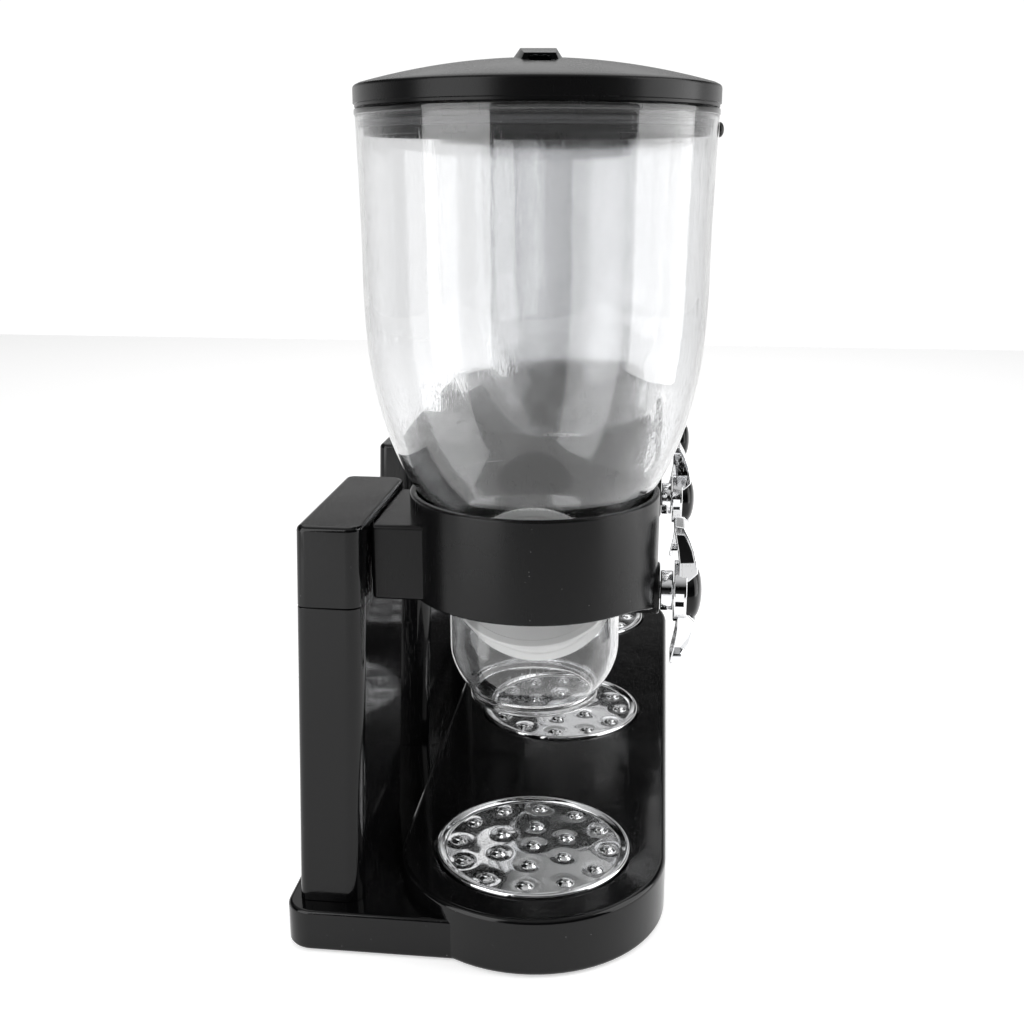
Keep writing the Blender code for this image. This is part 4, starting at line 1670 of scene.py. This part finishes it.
    def neck(self) -> Piece:
        """The smooth chrome neck behind the handle."""
        back = RingBrackets.boss_front + GAP
        front = -self.back - GAP
        edge = self.neck_edge
        profile = arc((self.neck_radius - edge, back + edge), edge, -90, 0, 4)
        profile += arc((self.neck_radius - edge, front - edge), edge, 0, 90, 4)
        profile += [(Rotors.shaft_bore, front), (Rotors.shaft_bore, back)]
        neck = turned("neck", profile, 72, Axis.FRONT)
        return smooth(neck, 30.0, weighted=False)


# ---------------------------------------------------------------- plates

@dataclass
class Plates(SubAssembly):
    """The pressed chrome plates with a raised rim and rings of small domes."""

    radius: float = 0.0457
    floor: float = 0.0263
    skin: float = 0.0008
    field_height: float = 0.0287
    rim_top: float = 0.0300
    rim_width: float = 0.0026
    rim_slope: float = 0.0019
    dome_top: float = 0.0304
    dome_radius: float = 0.0034
    dent: float = 0.00030
    dent_radius: float = 0.0085
    rings: tuple[tuple[float, int], ...] = ((0.0, 1), (0.0175, 6), (0.0353, 12))
    rim_round: float = 0.0003
    ripple: float = 0.00005
    steps: int = 288
    field_rings: int = 76
    centres: list[Vector] = field(default_factory=list)

    def build(self) -> None:
        """Models and dresses every plate."""
        for distance, count in self.rings:
            for number in range(count):
                angle = math.tau * number / count
                self.centres.append(Vector((distance * math.cos(angle), distance * math.sin(angle))))
        plate = self.disc()
        reshape(plate, self.pressed)
        smooth(plate, 40.0, weighted=False)
        self.spread(plate, "chrome_plate", "chrome", "plate_{}", "drip_plate")

    def disc(self) -> Piece:
        """The plate before its domes are pressed."""
        field_edge = self.radius - self.rim_width - self.rim_slope
        rings = self.field_rings
        profile = [(field_edge * step / rings, self.field_height) for step in range(rings + 1)]
        top = self.rim_top - self.rim_round
        crest = self.rim_width / 2
        profile += [(field_edge + self.rim_slope * 0.5, (self.field_height + top) / 2)]
        profile += arc((self.radius - crest, top - crest / 2), crest, 140, 10, 7)
        profile += [(self.radius, self.floor), (self.radius - self.skin, self.floor)]
        profile += [(self.radius - self.skin, self.field_height - self.skin)]
        profile += [(field_edge * part / 8, self.field_height - self.skin) for part in range(8, -1, -1)]
        return turned("plate", profile, self.steps)

    def pressed(self, point: Vector) -> Vector:
        """Presses the domes and the shallow dents round them into the plate's top.

        Args:
            point: A point of the plate.

        Returns:
            Its new place.
        """
        inside = point.xy.length <= self.radius - self.rim_width
        if point.z < self.field_height - self.skin / 2 or not inside:
            return point
        lift = 0.0
        for centre in self.centres:
            away = (point.xy - centre).length
            if away < self.dome_radius:
                rise = self.dome_top - self.field_height
                lift += rise * math.sqrt(1.0 - (away / self.dome_radius) ** 2)
            if away < self.dent_radius:
                lift -= self.dent * eased(1.0 - away / self.dent_radius)
        sway = math.sin(point.x * 210.0 + 1.3) * math.sin(point.y * 190.0 + 0.4)
        return point + Vector((0.0, 0.0, lift + self.ripple * sway))


# ---------------------------------------------------------------- studio

@dataclass
class Studio:
    """The pale floor, the soft lights, the surroundings and the camera."""

    camera_place: Triple = (-0.6903, -0.0683, 0.3390)
    camera_down: float = 15.386
    camera_turn: float = 6.743
    lens: float = 44.195
    floor_size: float = 3.6
    floor_glow: float = 0.52
    seen_white: float = 1.05
    seen_through: float = 0.80

    def build(self) -> None:
        """Sets up everything that isn't part of the dispenser."""
        self.camera()
        self.floor()
        self.surroundings()
        self.panel("left_panel", (-0.68, 0.47, 0.47), (-0.16, 0.0, 0.40), (0.58, 0.92), 5.5)
        self.panel("right_panel", (-0.15, -0.70, 0.47), (-0.16, 0.0, 0.40), (0.62, 0.92), 5.5)
        self.panel("top_panel", (0.9, 0.0, 1.6), (0.0, 0.0, 0.2), (1.8, 2.2), 12.0)
        bpy.context.scene.view_settings.view_transform = "Standard"

    def camera(self) -> None:
        """Adds the camera, low beside the row's end."""
        rest()
        tilt = (math.radians(90.0 - self.camera_down), 0.0, math.radians(self.camera_turn - 90.0))
        bpy.ops.object.camera_add(location=self.camera_place, rotation=tilt)
        camera = bpy.context.object
        camera.data.lens = self.lens
        camera.data.clip_start = 0.01
        bpy.context.scene.camera = camera

    def floor(self) -> None:
        """Adds the plain white floor."""
        rest()
        bpy.ops.mesh.primitive_plane_add(size=self.floor_size, location=(0.0, 0.0, 0.0))
        floor = bpy.context.object
        floor.name = "studio_floor"
        made = bpy.data.materials.new("studio_white")
        made.use_nodes = True
        shader = made.node_tree.nodes["Principled BSDF"]
        shader.inputs["Base Color"].default_value = (0.80, 0.80, 0.80, 1.0)
        shader.inputs["Emission Color"].default_value = (1.0, 1.0, 1.0, 1.0)
        shader.inputs["Emission Strength"].default_value = self.floor_glow
        shader.inputs["Roughness"].default_value = 0.9
        floor.data.materials.append(made)

    def surroundings(self) -> None:
        """Makes the room: white where it is seen, dimmer where it is only reflected."""
        world = bpy.data.worlds.new("studio")
        bpy.context.scene.world = world
        world.use_nodes = True
        nodes = Nodes(world.node_tree)
        background = world.node_tree.nodes["Background"]
        path = nodes.add("ShaderNodeLightPath")
        place = nodes.add("ShaderNodeTexCoord").outputs["Generated"]
        parts = nodes.add("ShaderNodeSeparateXYZ")
        nodes.join(place, parts.inputs[0])
        horizon = nodes.span(parts.outputs["Z"], (0.04, 0.38), (0.95, 0.02))
        ceiling = nodes.span(parts.outputs["Z"], (0.52, 0.88), (0.0, 0.62))
        beyond = nodes.span(parts.outputs["X"], (-0.10, 0.30), (0.06, 1.0))
        room = nodes.maths("ADD", nodes.maths("MULTIPLY", horizon, beyond), ceiling)
        rays = (("Is Transmission Ray", self.seen_through), ("Is Camera Ray", self.seen_white))
        for ray, strength in rays:
            room = nodes.maths("MAXIMUM", room, nodes.maths("MULTIPLY", path.outputs[ray], strength))
        background.inputs["Color"].default_value = (1.0, 1.0, 1.0, 1.0)
        nodes.join(room, background.inputs["Strength"])

    def panel(self, name: str, place: Triple, target: Triple, size: Pair, power: float) -> None:
        """Adds one soft light panel.

        Args:
            name: The light's name.
            place: Where it stands.
            target: The point it faces.
            size: Its width and height.
            power: Its power, in watts.
        """
        rest()
        bpy.ops.object.light_add(type="AREA", location=place)
        light = bpy.context.object
        light.name = name
        light.data.shape = "RECTANGLE"
        light.data.size, light.data.size_y = size
        light.data.energy = power
        light.rotation_euler = (Vector(target) - Vector(place)).to_track_quat("-Z", "Y").to_euler()


# ---------------------------------------------------------------- assembly


def main() -> None:
    """Builds every sub-assembly in order."""
    logging.basicConfig(level=logging.INFO, format="%(name)s: %(message)s")
    Studio().build()
    layout = Layout()
    wardrobe = Wardrobe.build()
    for kind in (Base, Columns, RingBrackets, Canisters, Lids, Chutes, Rotors, Knobs, Plates):
        kind(layout, wardrobe).build()
    LOG.info("carried nodes: %d", wardrobe.carry())
    rest()


if __name__ == "__main__":
    main()
